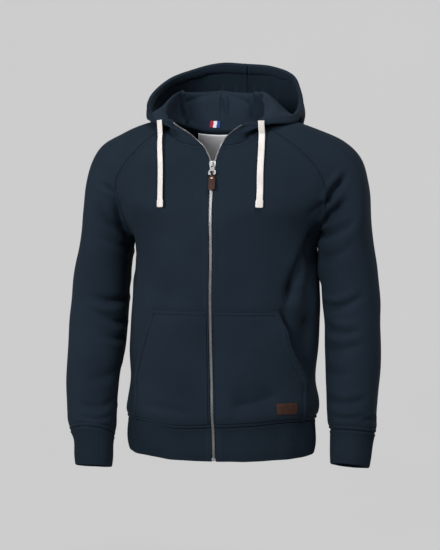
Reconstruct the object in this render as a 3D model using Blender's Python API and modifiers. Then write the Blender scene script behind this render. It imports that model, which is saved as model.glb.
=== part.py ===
"""Hooded zip sweatshirt with raglan sleeves, filled out as when it is worn. Metres, +Z up, front towards -Y.

The origin is between the shoulders, at the height where the wearer's shoulders carry the yoke. Every cloth piece is cut
from a surface worked out from the tables below. Where two pieces are sewn together they share the seam's points, and
each stops half a seam gap short of it.
"""
import bpy
import bmesh
import numpy as np
from math import cos, pi, radians, sin
from mathutils import Matrix, Vector

# ---------------------------------------------------------------- driving dimensions
FLEECE = 0.0022          # wall of the brushed fleece
RIBBING = 0.0026         # folded rib of the hem and the cuffs
TAPE = 0.0009            # zip tape
SEAM = 0.0003            # between neighbouring pieces at a seam
UNDERARM_SEAM = 0.0014   # the same near the underarm, where the two walls leave the seam side by side
POCKET_LIFT = 0.0036     # from a front's middle surface to its pocket's
PATCH = 0.0014           # leather patch
LABEL = 0.0006
TEETH_WIDE, TEETH_HIGH = 0.0029, 0.0026    # one row of zip teeth
TAPE_WIDE = 0.0130
CORD_WIDE, CORD_THICK = 0.0138, 0.0028
SLIDER_V = 1.775         # height of the zip slider on the fronts

# Grid lines of the panels
V_LOW = (0.0, 0.06, 0.16, 0.28, 0.40, 0.52, 0.66, 0.84, 0.98, 1.0)
V_HIGH = (1.14, 1.28, 1.42, 1.57, 1.71, 1.86, 2.0)
V_ALL = V_LOW + V_HIGH
W_FRONT, W_SLEEVE = 8, 12
HOOD_ROWS = (0.0, 0.12, 0.20, 0.26, 0.36, 0.46, 0.52, 0.58, 0.66, 0.78, 0.92, 1.0)

# ---------------------------------------------------------------- tables and curves
def table(columns, *rows):
    names = columns.split()
    data = np.array(rows, float)
    return {name: data[:, i] for i, name in enumerate(names)}


def curve(xs, ys, x):
    """Smooth curve through the rows of a table, read at x."""
    xs, ys, x = np.asarray(xs, float), np.asarray(ys, float), np.asarray(x, float)
    step = np.diff(xs)
    secant = np.diff(ys) / step
    slope = np.empty_like(ys)
    slope[0], slope[-1] = secant[0], secant[-1]
    slope[1:-1] = (secant[:-1] * step[1:] + secant[1:] * step[:-1]) / (step[1:] + step[:-1])
    i = np.clip(np.searchsorted(xs, x, side="right") - 1, 0, len(xs) - 2)
    h = step[i]
    s = (x - xs[i]) / h
    return (ys[i] * (1 + 2 * s) * (1 - s) ** 2 + ys[i + 1] * s * s * (3 - 2 * s)
            + slope[i] * h * s * (1 - s) ** 2 - slope[i + 1] * h * s * s * (1 - s))


def at(tab, key, x):
    return {name: curve(tab[key], tab[name], x) for name in tab if name != key}


# Body below the underarm, one row for each level. v runs 0 at the hem seam to 1 at the underarm.
# right and left are the half widths on the wearer's right (-X) and left (+X).
TORSO = table("v      z      right  left   front  back   side_y zip_x    wave",
    (0.00, -0.602, 0.2000, 0.1835, 0.117, 0.108, 0.004, -0.0025, 1.00),
    (0.05, -0.586, 0.2050, 0.1905, 0.124, 0.116, 0.004, -0.0028, 0.75),
    (0.11, -0.564, 0.2035, 0.1925, 0.125, 0.117, 0.004, -0.0031, 0.40),
    (0.22, -0.521, 0.1970, 0.1870, 0.122, 0.112, 0.004, -0.0043, 0.08),
    (0.38, -0.460, 0.1975, 0.1900, 0.121, 0.105, 0.004, -0.0058, 0.00),
    (0.54, -0.400, 0.1945, 0.1925, 0.123, 0.104, 0.004, -0.0066, 0.00),
    (0.72, -0.335, 0.1905, 0.1925, 0.127, 0.109, 0.005, -0.0064, 0.00),
    (0.87, -0.280, 0.1880, 0.1895, 0.129, 0.115, 0.006, -0.0050, 0.00),
    (0.98, -0.242, 0.1868, 0.1872, 0.129, 0.119, 0.006, -0.0048, 0.00),
    (1.00, -0.235, 0.1890, 0.1910, 0.129, 0.120, 0.006, -0.0049, 0.00))

# Hem rib, from its seam (0) to its lower edge (1).
RIB = table("r      z      right  left   front  back   side_y zip_x    wave",
    (0.00, -0.6020, 0.2000, 0.1835, 0.1170, 0.1080, 0.004, -0.0025, 1.00),
    (0.25, -0.6190, 0.2025, 0.1845, 0.1165, 0.1080, 0.004, -0.0022, 0.80),
    (0.75, -0.6535, 0.2025, 0.1850, 0.1155, 0.1070, 0.004, -0.0018, 0.38),
    (1.00, -0.6700, 0.1985, 0.1815, 0.1130, 0.1040, 0.004, -0.0015, 0.25))

# How far the hem seam rides up round a front, from the centre (w 0) to the side (1). wave says how much of it a row has.
HEM_WAVE = table("w     left    right",
    (0.00,  0.0000,  0.0000),
    (0.25,  0.0047, -0.0045),
    (0.50,  0.0096,  0.0037),
    (0.75,  0.0066,  0.0000),
    (1.00,  0.0030, -0.0010))

# Yoke, from the underarm (1) to the neck seam (2): centre front and centre back.
YOKE = table("v      front_x front_y front_z  back_x back_y  back_z",
    (1.00, -0.0049, -0.129, -0.235,  0.000,  0.120, -0.235),
    (1.14, -0.0055, -0.129, -0.205,  0.000,  0.124, -0.200),
    (1.28, -0.0059, -0.127, -0.178, -0.000,  0.125, -0.168),
    (1.42, -0.0050, -0.123, -0.151, -0.001,  0.122, -0.135),
    (1.57, -0.0020, -0.118, -0.124, -0.002,  0.116, -0.103),
    (1.71,  0.0012, -0.112, -0.098, -0.004,  0.105, -0.070),
    (1.86,  0.0026, -0.105, -0.073, -0.005,  0.086, -0.040),
    (2.00,  0.0008, -0.097, -0.048, -0.006,  0.062, -0.012))

# Raglan seams. turn is the direction in plan, from straight out (0) to straight forward or back (90), in which the
# panel or the sleeve meets the seam, rise is its slope, and reach is how far that direction holds.
RAGLAN_FRONT = table("v      left_x left_y right_x right_y z    panel_turn panel_rise sleeve_turn sleeve_rise reach top_reach",
    (1.00, 0.1910,  0.006, 0.1890,  0.006, -0.235,  90, 0.00, -90, 0.00, 0.104, 0.104),
    (1.14, 0.2039, -0.036, 0.1950, -0.043, -0.203,  54, 0.10, -34, 0.05, 0.070, 0.099),
    (1.28, 0.2117, -0.064, 0.2010, -0.071, -0.163,  40, 0.25,  -8, 0.20, 0.048, 0.086),
    (1.42, 0.2106, -0.079, 0.2070, -0.081, -0.123,  27, 0.42,  18, 0.40, 0.042, 0.072),
    (1.57, 0.1954, -0.086, 0.1880, -0.089, -0.087,  24, 0.55,  24, 0.55, 0.038, 0.062),
    (1.71, 0.1673, -0.087, 0.1560, -0.092, -0.055,  30, 0.60,  30, 0.60, 0.034, 0.052),
    (1.86, 0.1331, -0.081, 0.1250, -0.085, -0.028,  42, 0.70,  42, 0.60, 0.030, 0.042),
    (2.00, 0.0980, -0.070, 0.0980, -0.070, -0.006,  58, 0.90,  58, 0.50, 0.026, 0.034))

RAGLAN_BACK = table("v      left_x left_y right_x right_y z    panel_turn panel_rise sleeve_turn sleeve_rise reach top_reach",
    (1.00, 0.1910,  0.006, 0.1890,  0.006, -0.235,  90, 0.00, -90, 0.00, 0.104, 0.104),
    (1.14, 0.2009,  0.047, 0.1991,  0.047, -0.203,  54, 0.10, -32, 0.05, 0.070, 0.099),
    (1.28, 0.2057,  0.077, 0.2043,  0.077, -0.163,  40, 0.22,  -6, 0.18, 0.048, 0.086),
    (1.42, 0.1996,  0.096, 0.1984,  0.096, -0.122,  28, 0.40,  18, 0.38, 0.042, 0.072),
    (1.57, 0.1814,  0.103, 0.1806,  0.103, -0.086,  26, 0.52,  26, 0.52, 0.038, 0.062),
    (1.71, 0.1513,  0.098, 0.1507,  0.098, -0.053,  34, 0.55,  34, 0.55, 0.034, 0.052),
    (1.86, 0.1151,  0.081, 0.1149,  0.081, -0.024,  48, 0.42,  48, 0.42, 0.030, 0.042),
    (2.00, 0.0780,  0.051, 0.0780,  0.051,  0.000,  62, 0.12,  62, 0.12, 0.026, 0.034))

# Line over the outside of the sleeve and the shoulder.
SLEEVE_TOP = table("v      right  left   y       right_z  left_z",
    (1.00, 0.2990, 0.2990,  0.004, -0.2350, -0.2350),
    (1.14, 0.2900, 0.2940,  0.004, -0.1760, -0.1770),
    (1.28, 0.2850, 0.2890,  0.004, -0.1180, -0.1195),
    (1.42, 0.2725, 0.2755,  0.004, -0.0710, -0.0730),
    (1.57, 0.2450, 0.2480,  0.003, -0.0370, -0.0390),
    (1.71, 0.2000, 0.2050,  0.001, -0.0165, -0.0165),
    (1.86, 0.1500, 0.1560, -0.002,  0.0010,  0.0005),
    (2.00, 0.1070, 0.1070, -0.006,  0.0115,  0.0110))

# Sleeves below the underarm, one row for each ring. l runs 0 at the underarm to 1 at the cuff seam. tilt lowers the back
# of a ring, and front and back are its half depths.
SLEEVE_RIGHT = table("l      z       inner   outer   y      front  back   tilt  lean",
    (0.00, -0.235,  0.1890, 0.2990,  0.006, 0.078, 0.078, 0.00, 0.00),
    (0.02, -0.242,  0.1935, 0.3010,  0.006, 0.0775,0.0775,0.00, 0.00),
    (0.14, -0.285,  0.2010, 0.3120,  0.006, 0.074, 0.074, 0.00, 0.00),
    (0.30, -0.345,  0.2045, 0.3215,  0.004, 0.069, 0.069, 0.02, 0.00),
    (0.46, -0.405,  0.2080, 0.3270,  0.000, 0.067, 0.067, 0.08, 0.00),
    (0.62, -0.465,  0.2115, 0.3280, -0.010, 0.064, 0.064, 0.18, 0.00),
    (0.78, -0.525,  0.2200, 0.3260, -0.027, 0.059, 0.059, 0.26, 0.00),
    (0.92, -0.592,  0.2215, 0.3175, -0.047, 0.053, 0.053, 0.33, 0.00),
    (0.97, -0.616,  0.2205, 0.3155, -0.053, 0.050, 0.050, 0.42, 0.00),
    (1.00, -0.632,  0.2235, 0.3090, -0.058, 0.046, 0.046, 0.47, 0.00))
SLEEVE_LEFT = table("l      z       inner   outer   y      front  back   tilt  lean",
    (0.00, -0.235,  0.1910, 0.2990,  0.006, 0.078, 0.078, 0.00, 0.00),
    (0.02, -0.242,  0.1945, 0.3003,  0.006, 0.0775,0.0775,0.00, 0.00),
    (0.14, -0.285,  0.1965, 0.3065,  0.006, 0.074, 0.074, 0.00, 0.00),
    (0.30, -0.345,  0.2005, 0.3130,  0.004, 0.069, 0.069, 0.02, 0.00),
    (0.46, -0.405,  0.2060, 0.3165,  0.001, 0.067, 0.067, 0.06, 0.00),
    (0.62, -0.465,  0.2085, 0.3180, -0.006, 0.064, 0.064, 0.12, 0.00),
    (0.78, -0.525,  0.2120, 0.3150, -0.018, 0.059, 0.059, 0.17, 0.00),
    (0.92, -0.583,  0.2165, 0.3120, -0.032, 0.053, 0.053, 0.21, 0.00),
    (0.97, -0.602,  0.2180, 0.3120, -0.036, 0.050, 0.050, 0.22, 0.03),
    (1.00, -0.614,  0.2225, 0.3090, -0.039, 0.046, 0.046, 0.23, 0.05))

# Cuffs, from the seam (0) to the open end (1).
CUFF_RIGHT = table("l      z       inner   outer   y      front  back   tilt  lean",
    (0.00, -0.632,  0.2235, 0.3090, -0.058, 0.046, 0.046, 0.47, 0.00),
    (0.25, -0.649,  0.2246, 0.3018, -0.062, 0.043, 0.043, 0.41, 0.00),
    (0.75, -0.681,  0.2238, 0.2985, -0.069, 0.0415,0.0415,0.31, 0.00),
    (1.00, -0.697,  0.2248, 0.2955, -0.073, 0.039, 0.039, 0.27, 0.00))
CUFF_LEFT = table("l      z       inner   outer   y      front  back   tilt  lean",
    (0.00, -0.614,  0.2225, 0.3090, -0.039, 0.046, 0.046, 0.23, 0.05),
    (0.25, -0.631,  0.2236, 0.3050, -0.043, 0.043, 0.043, 0.25, 0.05),
    (0.75, -0.664,  0.2246, 0.3008, -0.051, 0.0415,0.0415,0.28, 0.06),
    (1.00, -0.680,  0.2258, 0.2980, -0.055, 0.039, 0.039, 0.30, 0.06))

# Half of the gap between the two fronts, where the zip shows and then stands open.
HALF_GAP = table("v     gap",
    (1.50, 0.0042), (1.60, 0.0042), (1.70, 0.0045), (1.76, 0.0050), (1.82, 0.0066), (1.90, 0.0114), (2.00, 0.0196))

# Hood, guide lines round half of it. a runs 0 at the centre seam to 1 at the zip edge. Between the neck seam and the rim
# the cloth rises to the roll, drops to the valley behind the neck, and comes up again in the outer wall.
HOOD_LEFT = table("a      roll_x roll_y roll_z  valley_x valley_y valley_z  wall_x wall_y wall_z  rim_x rim_y rim_z",
    (0.00, -0.022,  0.090,  0.073,  0.000,  0.160, -0.078,  0.012,  0.208,  0.000,  0.0254,  0.135,  0.1353),
    (0.16,  0.022,  0.086,  0.070,  0.052,  0.150, -0.064,  0.074,  0.195,  0.004,  0.0750,  0.131,  0.1295),
    (0.30,  0.054,  0.067,  0.067,  0.100,  0.120, -0.030,  0.1245,  0.162,  0.016,  0.1145,  0.109,  0.1145),
    (0.42,  0.072,  0.036,  0.066,  0.134,  0.085, -0.004,  0.1485,  0.110,  0.022,  0.1370,  0.078,  0.0930),
    (0.52,  0.086,  0.000,  0.056,  0.134,  0.030,  0.018,  0.1535,  0.056,  0.018,  0.1495,  0.040,  0.0640),
    (0.62,  0.100, -0.036,  0.032,  0.126, -0.022,  0.020,  0.1495,  0.002,  0.016,  0.1520,  0.002,  0.0375),
    (0.75,  0.090, -0.072,  0.006,  0.114, -0.063,  0.010,  0.142, -0.046,  0.000,  0.1430, -0.042,  0.0130),
    (0.88,  0.062, -0.095, -0.024,  0.082, -0.095, -0.013,  0.104, -0.088, -0.005,  0.1080, -0.077,  0.0060),
    (1.00,  0.020, -0.097, -0.034,  0.034, -0.099, -0.021,  0.049, -0.100, -0.011,  0.0633, -0.098, -0.0046))
HOOD_RIGHT = table("a      roll_x roll_y roll_z  valley_x valley_y valley_z  wall_x wall_y wall_z  rim_x rim_y rim_z",
    (0.00,  0.022,  0.090,  0.073,  0.000,  0.160, -0.078, -0.012,  0.208,  0.000, -0.0254,  0.135,  0.1353),
    (0.16,  0.064,  0.086,  0.071,  0.052,  0.150, -0.064,  0.050,  0.196,  0.004,  0.0300,  0.131,  0.1380),
    (0.30,  0.096,  0.064,  0.070,  0.102,  0.122, -0.030,  0.110,  0.166,  0.018,  0.0800,  0.112,  0.1260),
    (0.42,  0.100,  0.032,  0.070,  0.138,  0.088, -0.006,  0.160,  0.112,  0.020,  0.1260,  0.073,  0.1030),
    (0.52,  0.112,  0.002,  0.056,  0.140,  0.030,  0.020,  0.160,  0.056,  0.022,  0.1520,  0.030,  0.0720),
    (0.62,  0.118, -0.032,  0.034,  0.140, -0.018,  0.024,  0.156,  0.000,  0.022,  0.1585, -0.004,  0.0485),
    (0.75,  0.116, -0.066,  0.014,  0.134, -0.056,  0.018,  0.148, -0.046,  0.010,  0.1485, -0.038,  0.0250),
    (0.88,  0.084, -0.093, -0.018,  0.101, -0.091, -0.008,  0.117, -0.084,  0.000,  0.1265, -0.069,  0.0100),
    (1.00,  0.042, -0.096, -0.034,  0.060, -0.097, -0.020,  0.078, -0.096, -0.010,  0.0956, -0.092,  0.0015))

# Large folds of a front, in the panel's own directions: v up, w outwards. depth under 0 is a trough.
FOLDS_LEFT = table("v0    w0     v1     w1     width  depth",
    (1.06, 0.97, 0.66, 0.76, 0.020, -0.0160),
    (0.70, 0.77, 0.40, 0.72, 0.022, -0.0070),
    (1.00, 0.74, 0.60, 0.62, 0.030,  0.0040))
FOLDS_RIGHT = table("v0    w0     v1     w1     width  depth",
    (1.08, 0.97, 0.80, 0.84, 0.024, -0.0050))
PANEL_V, PANEL_W = 0.37, 0.24      # metres for each unit of v and w on a front


def bezier(p0, p1, p2, p3, w):
    w = np.asarray(w, float)[..., None]
    return p0 * (1 - w) ** 3 + 3 * p1 * w * (1 - w) ** 2 + 3 * p2 * w * w * (1 - w) + p3 * w ** 3


def pt(x, y, z):
    return np.stack(np.broadcast_arrays(x, y, z), -1).astype(float)


def smooth(x):
    x = np.clip(x, 0, 1)
    return x * x * (3 - 2 * x)


def neck_lean(p, v):
    """The neck sits a little to the wearer's right of the body, more at the back."""
    p = p.copy()
    p[..., 0] += smooth((np.asarray(v) - 1.3) / 0.7) * (-0.0085 - 0.045 * np.clip(p[..., 1] + 0.098, 0, 0.2))
    return p


def body_arc(t, w, side, end, gap):
    """Level curve round a quarter of the body, from the centre (w 0) to the side seam (1)."""
    name = "left" if side > 0 else "right"
    half = t[name]
    cx = t["zip_x"] + side * gap if end > 0 else 0.0 * half
    cy = -t["front"] if end > 0 else t["back"]
    p0, p3 = pt(cx, cy, t["z"]), pt(side * half, t["side_y"], t["z"])
    across, deep = np.abs(side * half - cx), 0.62 * np.abs(t["side_y"] - cy)
    p = bezier(p0, p0 + pt(side * 0.58 * across, 0, 0), p3 - pt(0 * deep, end * deep, 0), p3, w)
    ride = curve(HEM_WAVE["w"], HEM_WAVE[name], w) if end > 0 else HEM_WAVE[name][-1] * smooth(w)
    p[..., 2] += t["wave"] * ride
    return p


def fold_depth(folds, v, w):
    """How far large folds move the cloth outwards at v, w."""
    total = np.zeros(np.broadcast(v, w).shape)
    for v0, w0, v1, w1, width, depth in zip(*(folds[k] for k in ("v0", "w0", "v1", "w1", "width", "depth"))):
        dv, dw = (v1 - v0) * PANEL_V, (w1 - w0) * PANEL_W
        pv, pw = (v - v0) * PANEL_V, (w - w0) * PANEL_W
        along = (pv * dv + pw * dw) / (dv * dv + dw * dw)
        off = (pv * dw - pw * dv) / np.hypot(dv, dw)
        total = total + depth * np.exp(-(off / width) ** 2) * smooth((along + 0.12) / 0.3) * smooth((1.15 - along) / 0.45)
    return total


def panel(v, w, side, end):
    """Front (end 1) or back (end -1) of the body at height v, from the centre (w 0) to the side or raglan seam (1).
    side is 1 on the wearer's left (+X) and -1 on the right."""
    v, w = np.broadcast_arrays(np.asarray(v, float), np.asarray(w, float))
    gap = curve(HALF_GAP["v"], HALF_GAP["gap"], np.clip(v, 1.5, 2))
    low = body_arc(at(TORSO, "v", np.clip(v, 0, 1)), w, side, end, gap)
    up = np.clip(v, 1, 2)
    name = "left_" if side > 0 else "right_"
    c, r = at(YOKE, "v", up), at(RAGLAN_FRONT if end > 0 else RAGLAN_BACK, "v", up)
    if end > 0:
        p0 = pt(c["front_x"] + side * gap, c["front_y"], c["front_z"])
    else:
        p0 = pt(c["back_x"], c["back_y"], c["back_z"])
    p3 = pt(side * r[name + "x"], r[name + "y"], r["z"])
    across, deep = np.abs(p3[..., 0] - p0[..., 0]), 0.62 * np.abs(p3[..., 1] - p0[..., 1])
    turn = np.radians(r["panel_turn"])
    reach = 0.40 * across + (deep - 0.40 * across) * np.clip(1 - (up - 1) / 0.42, 0, 1)
    p1 = p0 + pt(side * 0.58 * across, 0 * across, 0.10 * (p3[..., 2] - p0[..., 2]))
    p2 = p3 - pt(side * np.cos(turn), end * -np.sin(turn) * -1, r["panel_rise"]) * reach[..., None]
    high = neck_lean(bezier(p0, p1, p2, p3, w), up)
    p = np.where((v <= 1)[..., None], low, high)
    if end > 0:
        out = fold_depth(FOLDS_LEFT if side > 0 else FOLDS_RIGHT, v, w) * smooth((1 - w) / 0.10)
        q = np.radians(90 * np.clip(w, 0, 1) ** 1.6)
        p = p + pt(side * np.sin(q), -np.cos(q), 0 * q) * out[..., None]
    return p


def rib(r, w, side, end):
    """Hem rib, r from its seam (0) to its lower edge (1)."""
    r, w = np.broadcast_arrays(np.asarray(r, float), np.asarray(w, float))
    return body_arc(at(RIB, "r", r), w, side, end, HALF_GAP["gap"][0] + 0 * r)


def ring(s, w, side):
    """Closed ring of a sleeve or cuff, from the inner seam (w 0) over the front, the outside (0.5) and the back."""
    first = w <= 0.5
    near = np.where(first, 1.0, -1.0)
    top, end = pt(side * s["outer"], s["y"], s["z"]), pt(side * s["inner"], s["y"], s["z"])
    depth = np.where(first, s["front"], s["back"]) * 4 / 3
    u = np.where(first, w * 2, 2 - w * 2)
    p = bezier(end, end + pt(0 * depth, -near * depth, 0), top + pt(0 * depth, -near * depth, 0), top, u)
    p[..., 2] -= s["tilt"] * (p[..., 1] - s["y"]) + s["lean"] * (side * p[..., 0] - 0.5 * (s["inner"] + s["outer"]))
    return p


def sleeve(q, w, side):
    """q runs from 2 at the neck to 1 at the underarm and down to 0 at the cuff seam. w goes from the front seam (0) over
    the outside (0.5) to the back seam (1)."""
    q, w = np.broadcast_arrays(np.asarray(q, float), np.asarray(w, float))
    v = np.clip(q, 1, 2)
    f, b, o = at(RAGLAN_FRONT, "v", v), at(RAGLAN_BACK, "v", v), at(SLEEVE_TOP, "v", v)
    name = "left" if side > 0 else "right"
    low = ring(at(SLEEVE_LEFT if side > 0 else SLEEVE_RIGHT, "l", np.clip(1 - q, 0, 1)), w, side)
    first = w <= 0.5
    pick = {k: np.where(first, f[k], b[k]) for k in f}
    near = np.where(first, 1.0, -1.0)
    end = pt(side * pick[name + "_x"], pick[name + "_y"], pick["z"])
    top = pt(side * o[name], o["y"], o[name + "_z"])
    turn = np.radians(pick["sleeve_turn"])
    end_pull = end + pt(side * np.cos(turn), near * np.sin(turn), pick["sleeve_rise"]) * pick["reach"][..., None]
    top_pull = top + pt(0 * near, -near, 0 * near) * pick["top_reach"][..., None]
    high = neck_lean(bezier(end, end_pull, top_pull, top, np.where(first, w * 2, 2 - w * 2)), v)
    return np.where((q < 1)[..., None], low, high)


def cuff(c, w, side):
    c, w = np.broadcast_arrays(np.asarray(c, float), np.asarray(w, float))
    return ring(at(CUFF_LEFT if side > 0 else CUFF_RIGHT, "l", c), w, side)


# Where the hood's a passes from the back over the sleeve's neck edge to the front.
AT_BACK, AT_FRONT = 0.30, 0.62


def neck(a, side):
    """Neck seam of one side, from the centre back (a 0) to the front edge (1)."""
    a = np.asarray(a, float)
    two = np.full(a.shape, 2.0)
    on_back = panel(two, np.clip(a / AT_BACK, 0, 1), side, -1)
    on_top = sleeve(two, 1 - np.clip((a - AT_BACK) / (AT_FRONT - AT_BACK), 0, 1), side)
    on_front = panel(two, 1 - np.clip((a - AT_FRONT) / (1 - AT_FRONT), 0, 1), side, 1)
    a = a[..., None]
    return np.where(a < AT_BACK, on_back, np.where(a < AT_FRONT, on_top, on_front))


HOOD_S = (0.0, 0.24, 0.52, 0.76, 1.0)     # neck seam, roll, valley, outer wall, rim


def hood(a, s, side):
    """Hood of one side, a as in neck and s from the neck seam (0) to the rim (1)."""
    a, s = np.broadcast_arrays(np.asarray(a, float), np.asarray(s, float))
    tab = HOOD_LEFT if side > 0 else HOOD_RIGHT
    g = at(tab, "a", a)
    lines = [neck(a, side)] + [pt(side * g[n + "_x"], g[n + "_y"], g[n + "_z"]) for n in ("roll", "valley", "wall", "rim")]
    ks = np.array(HOOD_S)
    steps = np.diff(ks)
    sec = [(lines[i + 1] - lines[i]) / steps[i] for i in range(4)]
    slope = [sec[0]] + [(sec[i - 1] * steps[i] + sec[i] * steps[i - 1]) / (steps[i] + steps[i - 1]) for i in (1, 2, 3)] + [sec[3]]
    out = np.zeros(a.shape + (3,))
    for i in range(4):
        h = steps[i]
        t = ((s - ks[i]) / h)[..., None]
        part = (lines[i] * (1 + 2 * t) * (1 - t) ** 2 + lines[i + 1] * t * t * (3 - 2 * t)
                + slope[i] * h * t * (1 - t) ** 2 - slope[i + 1] * h * t * t * (1 - t))
        last = i == 3
        inside = (s >= ks[i]) & ((s < ks[i + 1]) | last)
        out = np.where(inside[..., None], part, out)
    return out


# ---------------------------------------------------------------- pockets, patch, cords
# Outer edge of each pocket on its front, one row for each height: w on the wearer's left and on the right.
POCKET = table("v      left   right",
    (0.000, 0.722, 0.646),
    (0.120, 0.698, 0.605),
    (0.220, 0.705, 0.632),
    (0.330, 0.578, 0.572),
    (0.430, 0.495, 0.515),
    (0.530, 0.455, 0.472),
    (0.620, 0.431, 0.438))
PATCH_BOX = dict(v0=0.066, v1=0.131, w0=0.418, w1=0.594)

# Drawcords: place on the casing where each leaves (a), and its free end
CORD_EXIT = dict(left=0.905, right=0.905)
CORD_END = dict(left=(0.0875, -0.1690), right=(-0.1095, -0.1680))
# How far each hangs to the side of a straight line, from its exit (0) to its end (1), and which way its flat faces
CORD_HANG = table("t      left     right",
    (0.00, -0.0090,  0.0038),
    (0.13, -0.0073,  0.0046),
    (0.47, -0.0026,  0.0067),
    (0.81,  0.0010,  0.0051),
    (1.00,  0.0018,  0.0030))
CORD_FACE = dict(left=(0.05, 0.0054), right=(-0.52, 0.0068))

# ---------------------------------------------------------------- scene
for old in list(bpy.data.objects):
    bpy.data.objects.remove(old, do_unlink=True)


def collection(name):
    made = bpy.data.collections.new(name)
    bpy.context.scene.collection.children.link(made)
    return made


PARTS = collection("hooded_zip_sweatshirt")
CUTTERS = collection("cutters")


def material(name, colour, roughness=0.9, metallic=0.0):
    mat = bpy.data.materials.new(name)
    mat.use_nodes = True
    bsdf = mat.node_tree.nodes["Principled BSDF"]
    bsdf.inputs["Base Color"].default_value = (*colour, 1)
    bsdf.inputs["Roughness"].default_value = roughness
    bsdf.inputs["Metallic"].default_value = metallic
    return mat


NAVY, RIB_NAVY = (0.014, 0.021, 0.034), (0.013, 0.019, 0.031)


def add(name, mesh, colour, roughness=0.9, metallic=0.0, into=None):
    obj = bpy.data.objects.new(name, mesh)
    (into or PARTS).objects.link(obj)
    obj.data.materials.append(material(name + "_finish", colour, roughness, metallic))
    return obj


# ---------------------------------------------------------------- cloth walls
def grid_faces(shape):
    rows, cols = shape
    return [((i, j), (i, j + 1), (i + 1, j + 1), (i + 1, j)) for i in range(rows - 1) for j in range(cols - 1)]


def key(p):
    return tuple(np.round(np.asarray(p) * 2e5).astype(int))


class Cloth:
    """A grid of middle-surface points, with the sense in which its outside faces."""

    def __init__(self, name, points, outside):
        self.name, self.p = name, points
        i, j = points.shape[0] // 2, points.shape[1] // 2
        n = np.cross(points[i + 1, j] - points[i - 1, j], points[i, j + 1] - points[i, j - 1])
        self.sign = 1.0 if n @ outside(points[i, j]) > 0 else -1.0
        self.n = None


def shared_normals(cloths):
    """Normals at every point, shared by the pieces that meet there."""
    total = {}
    for c in cloths:
        for quad in grid_faces(c.p.shape[:2]):
            q = [c.p[k] for k in quad]
            n = np.cross(q[2] - q[0], q[3] - q[1]) * -c.sign
            for k in q:
                total[key(k)] = total.get(key(k), 0) + n
    for c in cloths:
        c.n = np.zeros_like(c.p)
        for i in range(c.p.shape[0]):
            for j in range(c.p.shape[1]):
                n = total[key(c.p[i, j])]
                c.n[i, j] = n / np.linalg.norm(n)


def drawn_in(c, gap):
    """The grid's points, with those of its edges half a seam gap inside them."""
    p = c.p.copy()
    rows, cols = p.shape[:2]
    seen = {}
    for i in range(rows):
        for j in range(cols):
            seen.setdefault(key(p[i, j]), []).append((i, j))
    edges = {}
    for quad in grid_faces((rows, cols)):
        ks = [key(c.p[k]) for k in quad]
        for a, b in zip(ks, ks[1:] + ks[:1]):
            if a != b:
                edges[frozenset((a, b))] = edges.get(frozenset((a, b)), 0) + 1
    border = {k for e, count in edges.items() if count == 1 for k in e}
    moved = {}
    for k in border:
        step = np.zeros(3)
        for i, j in seen[k]:
            for di, dj in ((1, 0), (-1, 0), (0, 1), (0, -1)):
                a, b = i + di, j + dj
                if 0 <= a < rows and 0 <= b < cols and key(c.p[a, b]) not in border:
                    d = c.p[a, b] - c.p[i, j]
                    step = step + d / np.linalg.norm(d)
        if not step.any():
            i, j = seen[k][0]
            a, b = min(max(i, 1), rows - 2), min(max(j, 1), cols - 2)
            step = c.p[a, b] - c.p[i, j]
        x, _, z = c.p[seen[k][0]]
        near_arm = smooth((z + 0.245) / 0.01) * smooth((-0.170 - z) / 0.03) * (abs(x) > 0.18)
        moved[k] = step / np.linalg.norm(step) * (gap + 0.5 * (UNDERARM_SEAM - SEAM) * near_arm)
    for k, places in seen.items():
        if k in moved:
            for i, j in places:
                p[i, j] = c.p[i, j] + moved[k]
    return p


def wall(name, p, n, sign, thick, colour, keys=None):
    """Closed wall of the given thickness about a grid; grid points with one key are one vertex."""
    bm = bmesh.new()
    keys = p if keys is None else keys
    outer, inner, faces, used = {}, {}, [], {}
    for quad in grid_faces(p.shape[:2]):
        loop = []
        for k in quad if sign < 0 else quad[::-1]:
            kk = key(keys[k])
            if kk not in outer:
                outer[kk] = bm.verts.new(p[k] + n[k] * thick / 2)
                inner[kk] = bm.verts.new(p[k] - n[k] * thick / 2)
            if kk not in loop:
                loop.append(kk)
        if len(loop) == 4:
            o = [outer[k].co for k in loop]
            if (o[0] - o[2]).length > (o[1] - o[3]).length:
                loop = loop[1:] + loop[:1]
        for k in range(1, len(loop) - 1):
            tri = (loop[0], loop[k], loop[k + 1])
            bm.faces.new([outer[k] for k in tri])
            bm.faces.new([inner[k] for k in tri[::-1]])
            for a, b in zip(tri, tri[1:] + tri[:1]):
                used[(a, b)] = used.get((a, b), 0) + 1
    for a, b in used:
        if (b, a) not in used:
            bm.faces.new([outer[a], inner[a], inner[b]])
            bm.faces.new([outer[a], inner[b], outer[b]])
    mesh = bpy.data.meshes.new(name)
    bm.to_mesh(mesh)
    bm.free()
    return add(name, mesh, colour)


def grid(fn, rows, cols, *more):
    r, c = np.meshgrid(np.asarray(rows, float), np.asarray(cols, float), indexing="ij")
    return fn(r, c, *more)


def ring_columns(side_of_first=-1):
    """Round the body from one front edge over the back to the other, as (side, end, w)."""
    ws = np.linspace(0, 1, W_FRONT + 1)
    path = [(-1, 1, w) for w in ws] + [(-1, -1, w) for w in ws[::-1][1:]]
    return path + [(1, -1, w) for w in ws[1:]] + [(1, 1, w) for w in ws[::-1][1:]]


def round_body(fn, rows):
    return np.stack([np.stack([fn(np.float64(r), np.float64(w), side, end) for side, end, w in ring_columns()]) for r in rows])


def from_axis(x=0.0, y=0.0):
    return lambda p: np.array([p[0] - x, p[1] - y, 0.0])


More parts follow.
